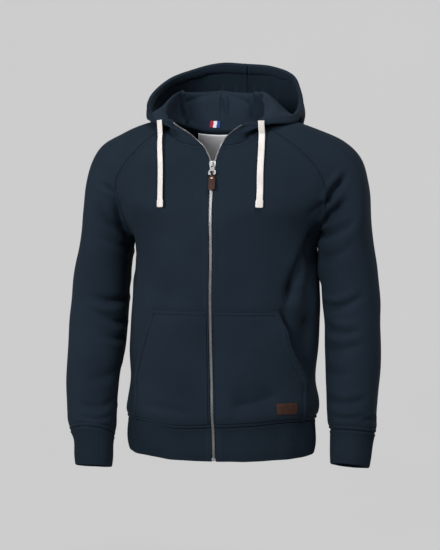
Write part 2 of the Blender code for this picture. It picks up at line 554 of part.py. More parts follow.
w_half = np.linspace(0, 1, W_FRONT + 1)
w_ring = np.linspace(0, 1, W_SLEEVE + 1)
cloths = {}
for side, who in ((1, "left"), (-1, "right")):
    cloths["front_" + who] = Cloth("front_" + who, grid(panel, V_ALL, w_half, side, 1), from_axis())
    cloths["sleeve_" + who] = Cloth("sleeve_" + who, grid(sleeve, V_ALL, w_ring, side), from_axis(side * 0.25))
    c_rows = grid(cuff, (0, 0.5, 1), w_ring, side)
    cloths["cuff_" + who] = Cloth("cuff_" + who, c_rows, from_axis(side * 0.27, -0.06))
    a_line = np.concatenate([np.linspace(0, AT_BACK, W_FRONT + 1), np.linspace(AT_BACK, AT_FRONT, W_SLEEVE + 1)[1:],
                             np.linspace(AT_FRONT, 1, W_FRONT + 1)[1:]])
    h = grid(lambda s, a, sd: hood(a, s, sd), HOOD_ROWS, a_line, side)
    cloths["hood_" + who] = Cloth("hood_" + who, h, lambda p: np.array([0, 0, 1.0]))
    # at the outer wall the outside of the hood faces away from the neck
    c = cloths["hood_" + who]
    n = np.cross(c.p[1, 2] - c.p[0, 2], c.p[0, 3] - c.p[0, 1])
    c.sign = 1.0 if n[1] > 0 else -1.0
back = np.concatenate([grid(panel, V_ALL, w_half[::-1], -1, -1), grid(panel, V_ALL, w_half[1:], 1, -1)], axis=1)
cloths["back"] = Cloth("back", back, from_axis())
cloths["hem_rib"] = Cloth("hem_rib", round_body(rib, (0, 0.33, 0.67, 1)), from_axis())
shared_normals(cloths.values())

WALL = {"hem_rib": RIBBING, "cuff_left": RIBBING, "cuff_right": RIBBING}
for name, c in cloths.items():
    wall(name, drawn_in(c, 0.85 * SEAM), c.n, c.sign, WALL.get(name, FLEECE), RIB_NAVY if name in WALL else NAVY, keys=c.p)


# ---------------------------------------------------------------- pieces that lie on a panel
def on_cloth(c, rows, cols, r, k, lift):
    """Point of a faceted panel at row value r and column value k, moved out by lift."""
    i = int(np.clip(np.searchsorted(rows, r, side="right") - 1, 0, len(rows) - 2))
    j = int(np.clip(np.searchsorted(cols, k, side="right") - 1, 0, len(cols) - 2))
    a, b = (r - rows[i]) / (rows[i + 1] - rows[i]), (k - cols[j]) / (cols[j + 1] - cols[j])
    mix = lambda g: (g[i, j] * (1 - a) * (1 - b) + g[i + 1, j] * a * (1 - b) + g[i, j + 1] * (1 - a) * b + g[i + 1, j + 1] * a * b)
    n = mix(c.n)
    n = n / np.linalg.norm(n)
    return mix(c.p) + n * lift, n


def laid(name, c, rows, cols, places, lift, thick, colour):
    """Wall over a grid of (row, column) places of a panel."""
    shape = np.asarray(places).shape[:2]
    p, n = np.zeros(shape + (3,)), np.zeros(shape + (3,))
    for i in range(shape[0]):
        for j in range(shape[1]):
            d = lift(i / (shape[0] - 1), j / (shape[1] - 1)) if callable(lift) else lift
            p[i, j], n[i, j] = on_cloth(c, rows, cols, *places[i][j], d)
    quad = np.cross(p[1, 0] - p[0, 0], p[0, 1] - p[0, 0])
    return wall(name, p, n, 1.0 if quad @ n[0, 0] > 0 else -1.0, thick, colour)


for side, who in ((1, "left"), (-1, "right")):
    c = cloths["front_" + who]
    rows = (0.006, 0.06, 0.16, 0.28, 0.40, 0.52, 0.62)
    edge = [float(curve(POCKET["v"], POCKET[who], v)) for v in rows]
    places = [[(v, max(0.012, min(w, out))) for w in w_half] for v, out in zip(rows, edge)]
    swell = lambda i, j: POCKET_LIFT + 0.003 * sin(pi * i) * min(1, 2.2 * j)
    laid("pocket_" + who, c, np.array(V_ALL), w_half, places, swell, FLEECE, NAVY)

c = cloths["front_left"]
b = PATCH_BOX
places = [[(b["v0"] + (b["v1"] - b["v0"]) * i / 2, b["w0"] + (b["w1"] - b["w0"]) * j / 3) for j in range(4)] for i in range(3)]
laid("leather_patch", c, np.array(V_ALL), w_half, places, POCKET_LIFT + 0.0062, PATCH, (0.19, 0.075, 0.04))

# Half-moon patch on the inside of the back, below the neck
c = cloths["back"]
back_cols = np.linspace(-1, 1, 2 * W_FRONT + 1)
PATCH_HALF, PATCH_TOP, PATCH_LOW, PATCH_W = 0.048, 1.975, 1.62, -0.04


def half_moon(i, j):
    """Place on the back, row i (0 top to 1) and column j (-1 to 1)."""
    v = PATCH_TOP + (PATCH_LOW - PATCH_TOP) * i
    across = np.linalg.norm(panel(np.float64(v), np.float64(0.5), 1, -1) - panel(np.float64(v), np.float64(0), 1, -1)) * 2
    half = PATCH_HALF * max(1 - i ** 3.2, 0.06) ** 0.5
    return v, PATCH_W + j * half / across


places = [[half_moon(i, j) for j in (-1, -0.6, -0.2, 0.2, 0.6, 1)] for i in (0, 0.2, 0.4, 0.6, 0.8, 0.93, 1)]
laid("neck_patch", c, np.array(V_ALL), back_cols, places, -(FLEECE / 2 + 0.0022), 0.0012, (0.35, 0.35, 0.38))

# Flag label, on the inside of the hood just above the neck seam
c = cloths["hood_right"]
label_at = dict(a=0.030, s0=0.020, s1=0.052, half=0.034)
hood_cols = np.concatenate([np.linspace(0, AT_BACK, W_FRONT + 1), np.linspace(AT_BACK, AT_FRONT, W_SLEEVE + 1)[1:], np.linspace(AT_FRONT, 1, W_FRONT + 1)[1:]])
places = [[(s, label_at["a"] + label_at["half"] * (j - 1) * 0.9) for j in range(3)] for s in (label_at["s0"], label_at["s1"])]
laid("flag_label", c, np.array(HOOD_ROWS), hood_cols, places, -(FLEECE / 2 + 0.0010), LABEL, (0.5, 0.45, 0.45))


# ---------------------------------------------------------------- zip
def front_edge(side):
    """Points of one front edge from the bottom of the hem rib to the rim of the hood, with the outward normal and the
    direction into the cloth."""
    cloth = [(cloths["hem_rib"], -1 if side > 0 else 0, -2 if side > 0 else 1, slice(None, None, -1)),
             (cloths["front_left" if side > 0 else "front_right"], 0, 1, slice(None)),
             (cloths["hood_left" if side > 0 else "hood_right"], -1, -2, slice(None))]
    p, n, into = [], [], []
    for c, edge, inside, order in cloth:
        for a, b, m in zip(c.p[order, edge], c.p[order, inside], c.n[order, edge]):
            if p and np.linalg.norm(a - p[-1]) < 1e-5:
                continue
            d = b - a
            d = d - m * (d @ m)
            p.append(a), n.append(m), into.append(d / np.linalg.norm(d))
    return np.array(p), np.array(n), np.array(into)


def strip(name, p, n, into, x0, x1, z0, z1, colour, roughness, metallic, cols=1):
    """Bar along a front edge, x measured into the cloth from the edge and z outwards from the cloth's middle."""
    section = [(x0 + (x1 - x0) * k / cols, z0) for k in range(cols + 1)] + [(x1 - (x1 - x0) * k / cols, z1) for k in range(cols + 1)]
    bm = bmesh.new()
    rings = [[bm.verts.new(p[i] + into[i] * x + n[i] * z) for x, z in section] for i in range(len(p))]
    for a, b in zip(rings, rings[1:]):
        for k in range(len(section)):
            m = (k + 1) % len(section)
            bm.faces.new((a[k], a[m], b[m])), bm.faces.new((a[k], b[m], b[k]))
    for end in (rings[0], rings[-1][::-1]):
        for k in range(1, len(end) - 1):
            bm.faces.new((end[0], end[k], end[k + 1]))
    bmesh.ops.recalc_face_normals(bm, faces=bm.faces)
    mesh = bpy.data.meshes.new(name)
    bm.to_mesh(mesh)
    bm.free()
    return add(name, mesh, colour, roughness, metallic)


edges = {}
for side, who in ((1, "left"), (-1, "right")):
    p, n, into = front_edge(side)
    edges[who] = (p, n, into)
    p, n, into = p.copy(), n.copy(), into.copy()
    p[0] = p[0] + (p[1] - p[0]) * 0.04
    p[-1] = p[-1] + (p[-2] - p[-1]) * 0.6
    strip("zip_tape_" + who, p, n, into, -0.0004, TAPE_WIDE, -FLEECE / 2 - 0.0009 - TAPE, -FLEECE / 2 - 0.0009, RIB_NAVY, 0.9, 0.0, 1)
    strip("zip_teeth_" + who, p, n, into, -0.0004 - TEETH_WIDE, -0.0007, -0.0012, -0.0012 + TEETH_HIGH, (0.62, 0.63, 0.65), 0.3, 1.0)


def box(name, size, centre, colour, roughness=0.35, metallic=1.0, bevel=0.0006, turn=None, into=None):
    bm = bmesh.new()
    bmesh.ops.create_cube(bm, size=1.0, matrix=Matrix.Diagonal((*size, 1.0)))
    mesh = bpy.data.meshes.new(name)
    bm.to_mesh(mesh)
    bm.free()
    obj = add(name, mesh, colour, roughness, metallic, into)
    obj.location = centre
    if turn:
        obj.rotation_euler = turn
    if bevel:
        mod = obj.modifiers.new("edges", "BEVEL")
        mod.width, mod.segments = bevel, 2
    return obj


METAL = (0.55, 0.55, 0.56)


def outline(name, shapes, half_thick, bevel, colour, roughness, metallic, into=None):
    """Flat piece from closed 2D outlines: the first is its edge, the others are holes."""
    data = bpy.data.curves.new(name, "CURVE")
    data.dimensions, data.fill_mode = "2D", "BOTH"
    data.extrude, data.bevel_depth, data.bevel_resolution = half_thick - bevel, bevel, 1
    for shape in shapes:
        spline = data.splines.new("POLY")
        spline.points.add(len(shape) - 1)
        for q, (x, y) in zip(spline.points, shape):
            q.co = (x, y, 0, 1)
        spline.use_cyclic_u = True
    return add(name, data, colour, roughness, metallic, into)


def as_mesh(obj):
    """The curve object made a mesh, its caps welded."""
    dg = bpy.context.evaluated_depsgraph_get()
    mesh = bpy.data.meshes.new_from_object(obj.evaluated_get(dg))
    bm = bmesh.new()
    bm.from_mesh(mesh)
    bmesh.ops.remove_doubles(bm, verts=bm.verts, dist=0.00001)
    bm.to_mesh(mesh)
    bm.free()
    name, place, where = obj.name, obj.matrix_world.copy(), obj.users_collection[0]
    mats = [m for m in obj.data.materials]
    bpy.data.objects.remove(obj, do_unlink=True)
    made = bpy.data.objects.new(name, mesh)
    where.objects.link(made)
    made.data.materials.clear()
    for m in mats:
        made.data.materials.append(m)
    made.matrix_world = place
    return made


def boolean(obj, tool, operation):
    tool.hide_render, tool.display_type = True, "WIRE"
    mod = obj.modifiers.new(operation.lower(), "BOOLEAN")
    mod.operation, mod.object = operation, tool


def ellipse(cx, cy, rx, ry, count=20, power=1.0):
    ts = [2 * pi * k / count for k in range(count)]
    bow = lambda c: (abs(c) ** power) * (1 if c > 0 else -1)
    return [(cx + rx * bow(cos(t)), cy + ry * bow(sin(t))) for t in ts]


# Frame of the slider: centre between the fronts, up along the zip, out from the chest
def zip_centre(v):
    return 0.5 * (panel(np.float64(v), np.float64(0), 1, 1) + panel(np.float64(v), np.float64(0), -1, 1))


def frame(origin, up, out):
    up = Vector(up).normalized()
    right = up.cross(Vector(out)).normalized()
    out = right.cross(up).normalized()
    m = Matrix((right, up, out)).transposed().to_4x4()
    m.translation = origin
    return m


mid = zip_centre(SLIDER_V)
up = zip_centre(SLIDER_V + 0.05) - zip_centre(SLIDER_V - 0.05)
SLIDER = frame(mid, up, (0, -1, 0))

# Slider: a plate on each side of the teeth, the wedge between them that parts the rows, and the bridge for the pull
PLATE_LONG, PLATE_TOP, PLATE_LOW = 0.0170, 0.0062, 0.0048
PLATE_IN, PLATE_THICK = 0.0020, 0.0016
BRIDGE_UP, BRIDGE_LONG, BRIDGE_WIDE, BRIDGE_HIGH, BRIDGE_BAR = 0.0005, 0.0100, 0.0024, 0.0046, 0.0013
plate = [(-PLATE_LOW, -PLATE_LONG / 2), (PLATE_LOW, -PLATE_LONG / 2), (PLATE_LOW + 0.0004, -PLATE_LONG * 0.12),
         (PLATE_TOP, PLATE_LONG * 0.18), (PLATE_TOP * 0.97, PLATE_LONG * 0.40), (PLATE_TOP * 0.72, PLATE_LONG / 2),
         (0.0012, PLATE_LONG / 2), (0, PLATE_LONG * 0.46), (-0.0012, PLATE_LONG / 2), (-PLATE_TOP * 0.72, PLATE_LONG / 2),
         (-PLATE_TOP * 0.97, PLATE_LONG * 0.40), (-PLATE_TOP, PLATE_LONG * 0.18), (-PLATE_LOW - 0.0004, -PLATE_LONG * 0.12)]
slider = outline("zip_slider", [plate], PLATE_THICK / 2, 0.0003, METAL, 0.3, 1.0)
slider.matrix_world = SLIDER @ Matrix.Translation((0, 0, PLATE_IN + PLATE_THICK / 2))
bpy.context.view_layer.update()
slider = as_mesh(slider)
rear = outline("slider_rear", [[(x * 0.74, y * 0.98) for x, y in plate]], 0.0006, 0.0002, METAL, 0.3, 1.0, CUTTERS)
rear.matrix_world = SLIDER @ Matrix.Translation((0, 0, -0.0026))
bpy.context.view_layer.update()
rear = as_mesh(rear)
wedge = box("slider_wedge", (0.0026, 0.0050, 0.0060), (0, 0, 0), METAL, bevel=0, into=CUTTERS)
wedge.matrix_world = SLIDER @ Matrix.Translation((0, PLATE_LONG * 0.30, 0.0001))
top = PLATE_IN + PLATE_THICK
arch = outline("slider_bridge", [[(-BRIDGE_LONG / 2, -0.0006), (-BRIDGE_LONG / 2 + 0.0004, BRIDGE_HIGH * 0.6),
                                  (-BRIDGE_LONG * 0.3, BRIDGE_HIGH), (BRIDGE_LONG * 0.3, BRIDGE_HIGH),
                                  (BRIDGE_LONG / 2 - 0.0004, BRIDGE_HIGH * 0.6), (BRIDGE_LONG / 2, -0.0006),
                                  (BRIDGE_LONG / 2 - BRIDGE_BAR, -0.0006), (BRIDGE_LONG / 2 - BRIDGE_BAR - 0.0002, BRIDGE_HIGH * 0.5),
                                  (BRIDGE_LONG * 0.22, BRIDGE_HIGH - BRIDGE_BAR), (-BRIDGE_LONG * 0.22, BRIDGE_HIGH - BRIDGE_BAR),
                                  (-BRIDGE_LONG / 2 + BRIDGE_BAR + 0.0002, BRIDGE_HIGH * 0.5), (-BRIDGE_LONG / 2 + BRIDGE_BAR, -0.0006)]],
               BRIDGE_WIDE / 2, 0.0002, METAL, 0.3, 1.0, CUTTERS)
# the arch is drawn along the zip and outwards, and extruded across it
arch.matrix_world = SLIDER @ Matrix.Translation((0, BRIDGE_UP, top)) @ Matrix(((0, 0, 1, 0), (1, 0, 0, 0), (0, 1, 0, 0), (0, 0, 0, 1)))
bpy.context.view_layer.update()
arch = as_mesh(arch)
for tool in (wedge, rear, arch):
    boolean(slider, tool, "UNION")

# Pull: a flat eye round the bridge, a neck, and a wide ring. Its axis is the bar that passes under the bridge.
PULL_THICK, PULL_LEAN = 0.0013, radians(-2.5)
RING_HOLE, RING_LOW, RING_WIDE = -0.0142, -0.0193, 0.0072
HOLE_WIDE, HOLE_HIGH = 0.0042, 0.0029
axis = SLIDER @ Matrix.Translation((0, BRIDGE_UP - 0.0018, top + 0.0018))
PULL = axis @ Matrix.Rotation(PULL_LEAN, 4, "X")
edge = [(0.0030, 0.0009), (0.0034, 0.0), (0.0033, -0.0050), (0.0029, -0.0072), (0.0038, -0.0090), (0.0060, -0.0102),
        (RING_WIDE, -0.0122), (RING_WIDE, -0.0170), (0.0060, -0.0190), (0.0045, RING_LOW)]
edge = edge + [(-x, y) for x, y in edge[::-1]]
eye = [(0.0019, -0.0008), (0.0019, -0.0054), (-0.0019, -0.0054), (-0.0019, -0.0008)]
hole = ellipse(0, RING_HOLE, HOLE_WIDE, HOLE_HIGH, 16, 0.65)
pull = outline("zip_pull", [edge, eye, hole], PULL_THICK / 2, 0.00025, METAL, 0.28, 1.0)
pull.matrix_world = PULL

# Leather tab: folded through the ring round its lower bar, and riveted below it
BAR = 0.5 * (RING_HOLE - HOLE_HIGH + RING_LOW)
TAB_WIDE, TAB_LONG, TAB_THICK, WRAP_WIDE = 0.0130, 0.0315, 0.0024, 0.0044
TAB = PULL @ Matrix.Translation((0, BAR, 0))
leaf_low = -TAB_LONG
leaf = [(-TAB_WIDE / 2, leaf_low + 0.0008), (-TAB_WIDE / 2 + 0.0008, leaf_low), (TAB_WIDE / 2 - 0.0008, leaf_low), (TAB_WIDE / 2, leaf_low + 0.0008),
        (TAB_WIDE / 2, -0.0046), (TAB_WIDE / 2 - 0.0014, -0.0034), (-TAB_WIDE / 2 + 0.0014, -0.0034), (-TAB_WIDE / 2, -0.0046)]
tab = outline("zip_pull_tab", [leaf], TAB_THICK / 2, 0.0003, (0.22, 0.085, 0.04), 0.55, 0.0)
tab.matrix_world = TAB
bpy.context.view_layer.update()
tab = as_mesh(tab)
r_out, r_in = 0.0028, 0.0020
wrap_edge = [(r_out * cos(t), r_out * sin(t)) for t in np.linspace(-pi / 2, pi / 2, 9)] + [(-0.0040, TAB_THICK / 2), (-0.0060, 0.0006), (-0.0060, -0.0006), (-0.0040, -TAB_THICK / 2)]
wrap_hole = ellipse(-0.0001, 0, r_in, r_in, 12)
wrap = outline("tab_wrap", [wrap_edge, wrap_hole], WRAP_WIDE / 2, 0.0002, (0.22, 0.085, 0.04), 0.55, 0.0, CUTTERS)
wrap.matrix_world = TAB @ Matrix(((0, 0, 1, 0), (1, 0, 0, 0), (0, 1, 0, 0), (0, 0, 0, 1)))
bpy.context.view_layer.update()
wrap = as_mesh(wrap)
boolean(tab, wrap, "UNION")


def disc(name, radius, thick, matrix, colour, roughness, metallic, count=20):
    bm = bmesh.new()
    bmesh.ops.create_cone(bm, cap_ends=True, segments=count, radius1=radius, radius2=radius * 0.82, depth=thick)
    mesh = bpy.data.meshes.new(name)
    bm.to_mesh(mesh)
    bm.free()
    obj = add(name, mesh, colour, roughness, metallic)
    obj.matrix_world = matrix
    return obj


disc("zip_pull_rivet", 0.0022, 0.0009, TAB @ Matrix.Translation((0, -0.0085, TAB_THICK / 2 + 0.0003 + 0.00045)), (0.72, 0.42, 0.25), 0.3, 1.0)

# Stop box at the lower end of the zip
low = 0.5 * (edges["left"][0][0] + edges["right"][0][0])
STOP = frame(low, (0, 0, 1), (0, -1, 0)) @ Matrix.Translation((0, 0.0042, 0.0002))
stop = box("zip_stop", (0.0076, 0.0056, 0.0011), (0, 0, 0), METAL, bevel=0.0003)
stop.matrix_world = STOP @ Matrix.Translation((0, 0, 0.0032))


# ---------------------------------------------------------------- drawcords
def on_front(x, z, side):
    """Place on a front with the given x and z, found by steps, with its normal."""
    v, w = 1.6, 0.6
    for _ in range(30):
        p = panel(np.float64(v), np.float64(w), side, 1)
        dv = (panel(np.float64(v + 1e-3), np.float64(w), side, 1) - p) / 1e-3
        dw = (panel(np.float64(v), np.float64(w + 1e-3), side, 1) - p) / 1e-3
        m = np.array([[dv[0], dw[0]], [dv[2], dw[2]]])
        step = np.linalg.solve(m, [x - p[0], z - p[2]])
        v, w = float(np.clip(v + step[0], 0.05, 1.99)), float(np.clip(w + step[1], 0.02, 0.995))
    n = np.cross(dv, dw)
    n = n / np.linalg.norm(n)
    return p, n * (1 if n[1] < 0 else -1)


def cord_route(side, count):
    """Middle line of a drawcord from the casing to its free end, with the outward normals."""
    who = "left" if side > 0 else "right"
    start = hood(np.float64(CORD_EXIT[who]), np.float64(0.97), side)
    end_x, end_z = CORD_END[who]
    pts, outs = [], []
    for t in np.linspace(0, 1, count):
        z = start[2] - 0.003 + (end_z - start[2] + 0.003) * t
        x = start[0] + (end_x - start[0]) * t + float(curve(CORD_HANG["t"], CORD_HANG[who], t))
        p, n = on_front(x, min(z, -0.026), side)
        free = smooth((z + 0.034) / 0.034)
        y = p[1] - CORD_FACE[who][1] / max(-n[1], 0.5)
        pts.append((x, y * (1 - free) + (start[1] - 0.0162) * free, z))
        outs.append((CORD_FACE[who][0], -1, 0))
    return np.array(pts), np.array(outs)


def ribbon(name, pts, outs, wide, thick, colour):
    """Flat cord with rounded edges along a route; its last stretch is folded back and sewn, so it is a little wider."""
    bm = bmesh.new()
    rings = []
    for i, p in enumerate(pts):
        along = pts[min(i + 1, len(pts) - 1)] - pts[max(i - 1, 0)]
        along = along / np.linalg.norm(along)
        out = outs[i] - along * (outs[i] @ along)
        out = out / np.linalg.norm(out)
        across = np.cross(along, out)
        t = i / (len(pts) - 1)
        grow = 1 + 0.16 * smooth((t - 0.90) / 0.08)
        section = [(0.5 * wide * grow * bx, 0.5 * thick * grow * bz) for bx, bz in
                   ((-1, 0), (-0.82, 0.72), (-0.4, 1), (0.4, 1), (0.82, 0.72), (1, 0), (0.82, -0.72), (0.4, -1), (-0.4, -1), (-0.82, -0.72))]
        rings.append([bm.verts.new(p + across * x + out * z) for x, z in section])
    for a, b in zip(rings, rings[1:]):
        for k in range(len(a)):
            m = (k + 1) % len(a)
            bm.faces.new((a[k], a[m], b[m], b[k]))
    bm.faces.new(rings[0]), bm.faces.new(rings[-1][::-1])
    bmesh.ops.recalc_face_normals(bm, faces=bm.faces)
    mesh = bpy.data.meshes.new(name)
    bm.to_mesh(mesh)
    bm.free()
    return add(name, mesh, colour)


for side, who in ((1, "left"), (-1, "right")):
    pts, outs = cord_route(side, 16)
    ribbon("drawcord_" + who, pts, outs, CORD_WIDE, CORD_THICK, (0.86, 0.82, 0.78))
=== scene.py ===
from math import cos, pi, radians, sin

import bmesh
import bpy
import numpy as np
from mathutils import Matrix, Vector


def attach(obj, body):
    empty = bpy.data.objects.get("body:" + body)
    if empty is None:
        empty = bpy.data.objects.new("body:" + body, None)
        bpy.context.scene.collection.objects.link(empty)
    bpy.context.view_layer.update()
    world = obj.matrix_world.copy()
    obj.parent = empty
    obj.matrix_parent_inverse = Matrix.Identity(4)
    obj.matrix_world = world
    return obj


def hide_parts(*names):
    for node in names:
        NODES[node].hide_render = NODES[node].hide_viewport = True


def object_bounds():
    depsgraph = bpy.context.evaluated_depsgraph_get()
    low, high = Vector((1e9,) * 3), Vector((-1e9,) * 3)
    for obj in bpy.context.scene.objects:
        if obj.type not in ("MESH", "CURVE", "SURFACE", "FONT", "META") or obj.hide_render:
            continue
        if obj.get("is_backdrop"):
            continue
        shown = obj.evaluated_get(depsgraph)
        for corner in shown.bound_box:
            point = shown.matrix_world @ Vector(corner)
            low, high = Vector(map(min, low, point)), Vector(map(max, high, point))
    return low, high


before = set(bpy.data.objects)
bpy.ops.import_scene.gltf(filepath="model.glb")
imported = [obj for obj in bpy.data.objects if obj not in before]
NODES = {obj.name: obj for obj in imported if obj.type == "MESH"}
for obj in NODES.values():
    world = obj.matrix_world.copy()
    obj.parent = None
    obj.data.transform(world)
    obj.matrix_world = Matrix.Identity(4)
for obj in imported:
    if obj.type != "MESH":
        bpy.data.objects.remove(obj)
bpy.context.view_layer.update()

# Hooded zip sweatshirt, filled out as worn. Metres, wearer's left is +X, the front faces -Y, and the origin is the point
# between the shoulders. The cloth's middle surface is the CAD model's own, taken finely; its folds, seams, stitches,
# ribs, teeth and cords are made here.
FLEECE, RIBBING, TAPE = 0.0022, 0.0026, 0.0009
POCKET_LIFT, PATCH, LABEL = 0.0036, 0.0014, 0.0006
CORD_WIDE, CORD_THICK = 0.0138, 0.0028
SLIDER_V = 1.775

# ---------------------------------------------------------------- tables and curves
def table(columns, *rows):
    names = columns.split()
    data = np.array(rows, float)
    return {name: data[:, i] for i, name in enumerate(names)}


def curve(xs, ys, x):
    """Smooth curve through the rows of a table, read at x."""
    xs, ys, x = np.asarray(xs, float), np.asarray(ys, float), np.asarray(x, float)
    step = np.diff(xs)
    secant = np.diff(ys) / step
    slope = np.empty_like(ys)
    slope[0], slope[-1] = secant[0], secant[-1]
    slope[1:-1] = (secant[:-1] * step[1:] + secant[1:] * step[:-1]) / (step[1:] + step[:-1])
    i = np.clip(np.searchsorted(xs, x, side="right") - 1, 0, len(xs) - 2)
    h = step[i]
    s = (x - xs[i]) / h
    return (ys[i] * (1 + 2 * s) * (1 - s) ** 2 + ys[i + 1] * s * s * (3 - 2 * s)
            + slope[i] * h * s * (1 - s) ** 2 - slope[i + 1] * h * s * s * (1 - s))


def at(tab, key, x):
    return {name: curve(tab[key], tab[name], x) for name in tab if name != key}


# Body below the underarm, one row for each level. v runs 0 at the hem seam to 1 at the underarm.
# right and left are the half widths on the wearer's right (-X) and left (+X).
TORSO = table("v      z      right  left   front  back   side_y zip_x    wave",
    (0.00, -0.602, 0.2000, 0.1835, 0.117, 0.108, 0.004, -0.0025, 1.00),
    (0.05, -0.586, 0.2050, 0.1905, 0.124, 0.116, 0.004, -0.0028, 0.75),
    (0.11, -0.564, 0.2035, 0.1925, 0.125, 0.117, 0.004, -0.0031, 0.40),
    (0.22, -0.521, 0.1970, 0.1870, 0.122, 0.112, 0.004, -0.0043, 0.08),
    (0.38, -0.460, 0.1975, 0.1900, 0.121, 0.105, 0.004, -0.0058, 0.00),
    (0.54, -0.400, 0.1945, 0.1925, 0.123, 0.104, 0.004, -0.0066, 0.00),
    (0.72, -0.335, 0.1905, 0.1925, 0.127, 0.109, 0.005, -0.0064, 0.00),
    (0.87, -0.280, 0.1880, 0.1895, 0.129, 0.115, 0.006, -0.0050, 0.00),
    (0.98, -0.242, 0.1868, 0.1872, 0.129, 0.119, 0.006, -0.0048, 0.00),
    (1.00, -0.235, 0.1890, 0.1910, 0.129, 0.120, 0.006, -0.0049, 0.00))

# Hem rib, from its seam (0) to its lower edge (1).
RIB = table("r      z      right  left   front  back   side_y zip_x    wave",
    (0.00, -0.6020, 0.2000, 0.1835, 0.1170, 0.1080, 0.004, -0.0025, 1.00),
    (0.25, -0.6190, 0.2025, 0.1845, 0.1165, 0.1080, 0.004, -0.0022, 0.80),
    (0.75, -0.6535, 0.2025, 0.1850, 0.1155, 0.1070, 0.004, -0.0018, 0.38),
    (1.00, -0.6700, 0.1985, 0.1815, 0.1130, 0.1040, 0.004, -0.0015, 0.25))

# How far the hem seam rides up round a front, from the centre (w 0) to the side (1). wave says how much of it a row has.
HEM_WAVE = table("w     left    right",
    (0.00,  0.0000,  0.0000),
    (0.25,  0.0047, -0.0045),
    (0.50,  0.0096,  0.0037),
    (0.75,  0.0066,  0.0000),
    (1.00,  0.0030, -0.0010))

# Yoke, from the underarm (1) to the neck seam (2): centre front and centre back.
YOKE = table("v      front_x front_y front_z  back_x back_y  back_z",
    (1.00, -0.0049, -0.129, -0.235,  0.000,  0.120, -0.235),
    (1.14, -0.0055, -0.129, -0.205,  0.000,  0.124, -0.200),
    (1.28, -0.0059, -0.127, -0.178, -0.000,  0.125, -0.168),
    (1.42, -0.0050, -0.123, -0.151, -0.001,  0.122, -0.135),
    (1.57, -0.0020, -0.118, -0.124, -0.002,  0.116, -0.103),
    (1.71,  0.0012, -0.112, -0.098, -0.004,  0.105, -0.070),
    (1.86,  0.0026, -0.105, -0.073, -0.005,  0.086, -0.040),
    (2.00,  0.0008, -0.097, -0.048, -0.006,  0.062, -0.012))

# Raglan seams. turn is the direction in plan, from straight out (0) to straight forward or back (90), in which the
# panel or the sleeve meets the seam, rise is its slope, and reach is how far that direction holds.
RAGLAN_FRONT = table("v      left_x left_y right_x right_y z    panel_turn panel_rise sleeve_turn sleeve_rise reach top_reach",
    (1.00, 0.1910,  0.006, 0.1890,  0.006, -0.235,  90, 0.00, -90, 0.00, 0.104, 0.104),
    (1.14, 0.2039, -0.036, 0.1950, -0.043, -0.203,  54, 0.10, -34, 0.05, 0.070, 0.099),
    (1.28, 0.2117, -0.064, 0.2010, -0.071, -0.163,  40, 0.25,  -8, 0.20, 0.048, 0.086),
    (1.42, 0.2106, -0.079, 0.2070, -0.081, -0.123,  27, 0.42,  18, 0.40, 0.042, 0.072),
    (1.57, 0.1954, -0.086, 0.1880, -0.089, -0.087,  24, 0.55,  24, 0.55, 0.038, 0.062),
    (1.71, 0.1673, -0.087, 0.1560, -0.092, -0.055,  30, 0.60,  30, 0.60, 0.034, 0.052),
    (1.86, 0.1331, -0.081, 0.1250, -0.085, -0.028,  42, 0.70,  42, 0.60, 0.030, 0.042),
    (2.00, 0.0980, -0.070, 0.0980, -0.070, -0.006,  58, 0.90,  58, 0.50, 0.026, 0.034))

RAGLAN_BACK = table("v      left_x left_y right_x right_y z    panel_turn panel_rise sleeve_turn sleeve_rise reach top_reach",
    (1.00, 0.1910,  0.006, 0.1890,  0.006, -0.235,  90, 0.00, -90, 0.00, 0.104, 0.104),
    (1.14, 0.2009,  0.047, 0.1991,  0.047, -0.203,  54, 0.10, -32, 0.05, 0.070, 0.099),
    (1.28, 0.2057,  0.077, 0.2043,  0.077, -0.163,  40, 0.22,  -6, 0.18, 0.048, 0.086),
    (1.42, 0.1996,  0.096, 0.1984,  0.096, -0.122,  28, 0.40,  18, 0.38, 0.042, 0.072),
    (1.57, 0.1814,  0.103, 0.1806,  0.103, -0.086,  26, 0.52,  26, 0.52, 0.038, 0.062),
    (1.71, 0.1513,  0.098, 0.1507,  0.098, -0.053,  34, 0.55,  34, 0.55, 0.034, 0.052),
    (1.86, 0.1151,  0.081, 0.1149,  0.081, -0.024,  48, 0.42,  48, 0.42, 0.030, 0.042),
    (2.00, 0.0780,  0.051, 0.0780,  0.051,  0.000,  62, 0.12,  62, 0.12, 0.026, 0.034))

# Line over the outside of the sleeve and the shoulder.
SLEEVE_TOP = table("v      right  left   y       right_z  left_z",
    (1.00, 0.2990, 0.2990,  0.004, -0.2350, -0.2350),
    (1.14, 0.2900, 0.2940,  0.004, -0.1760, -0.1770),
    (1.28, 0.2850, 0.2890,  0.004, -0.1180, -0.1195),
    (1.42, 0.2725, 0.2755,  0.004, -0.0710, -0.0730),
    (1.57, 0.2450, 0.2480,  0.003, -0.0370, -0.0390),
    (1.71, 0.2000, 0.2050,  0.001, -0.0165, -0.0165),
    (1.86, 0.1500, 0.1560, -0.002,  0.0010,  0.0005),
    (2.00, 0.1070, 0.1070, -0.006,  0.0115,  0.0110))

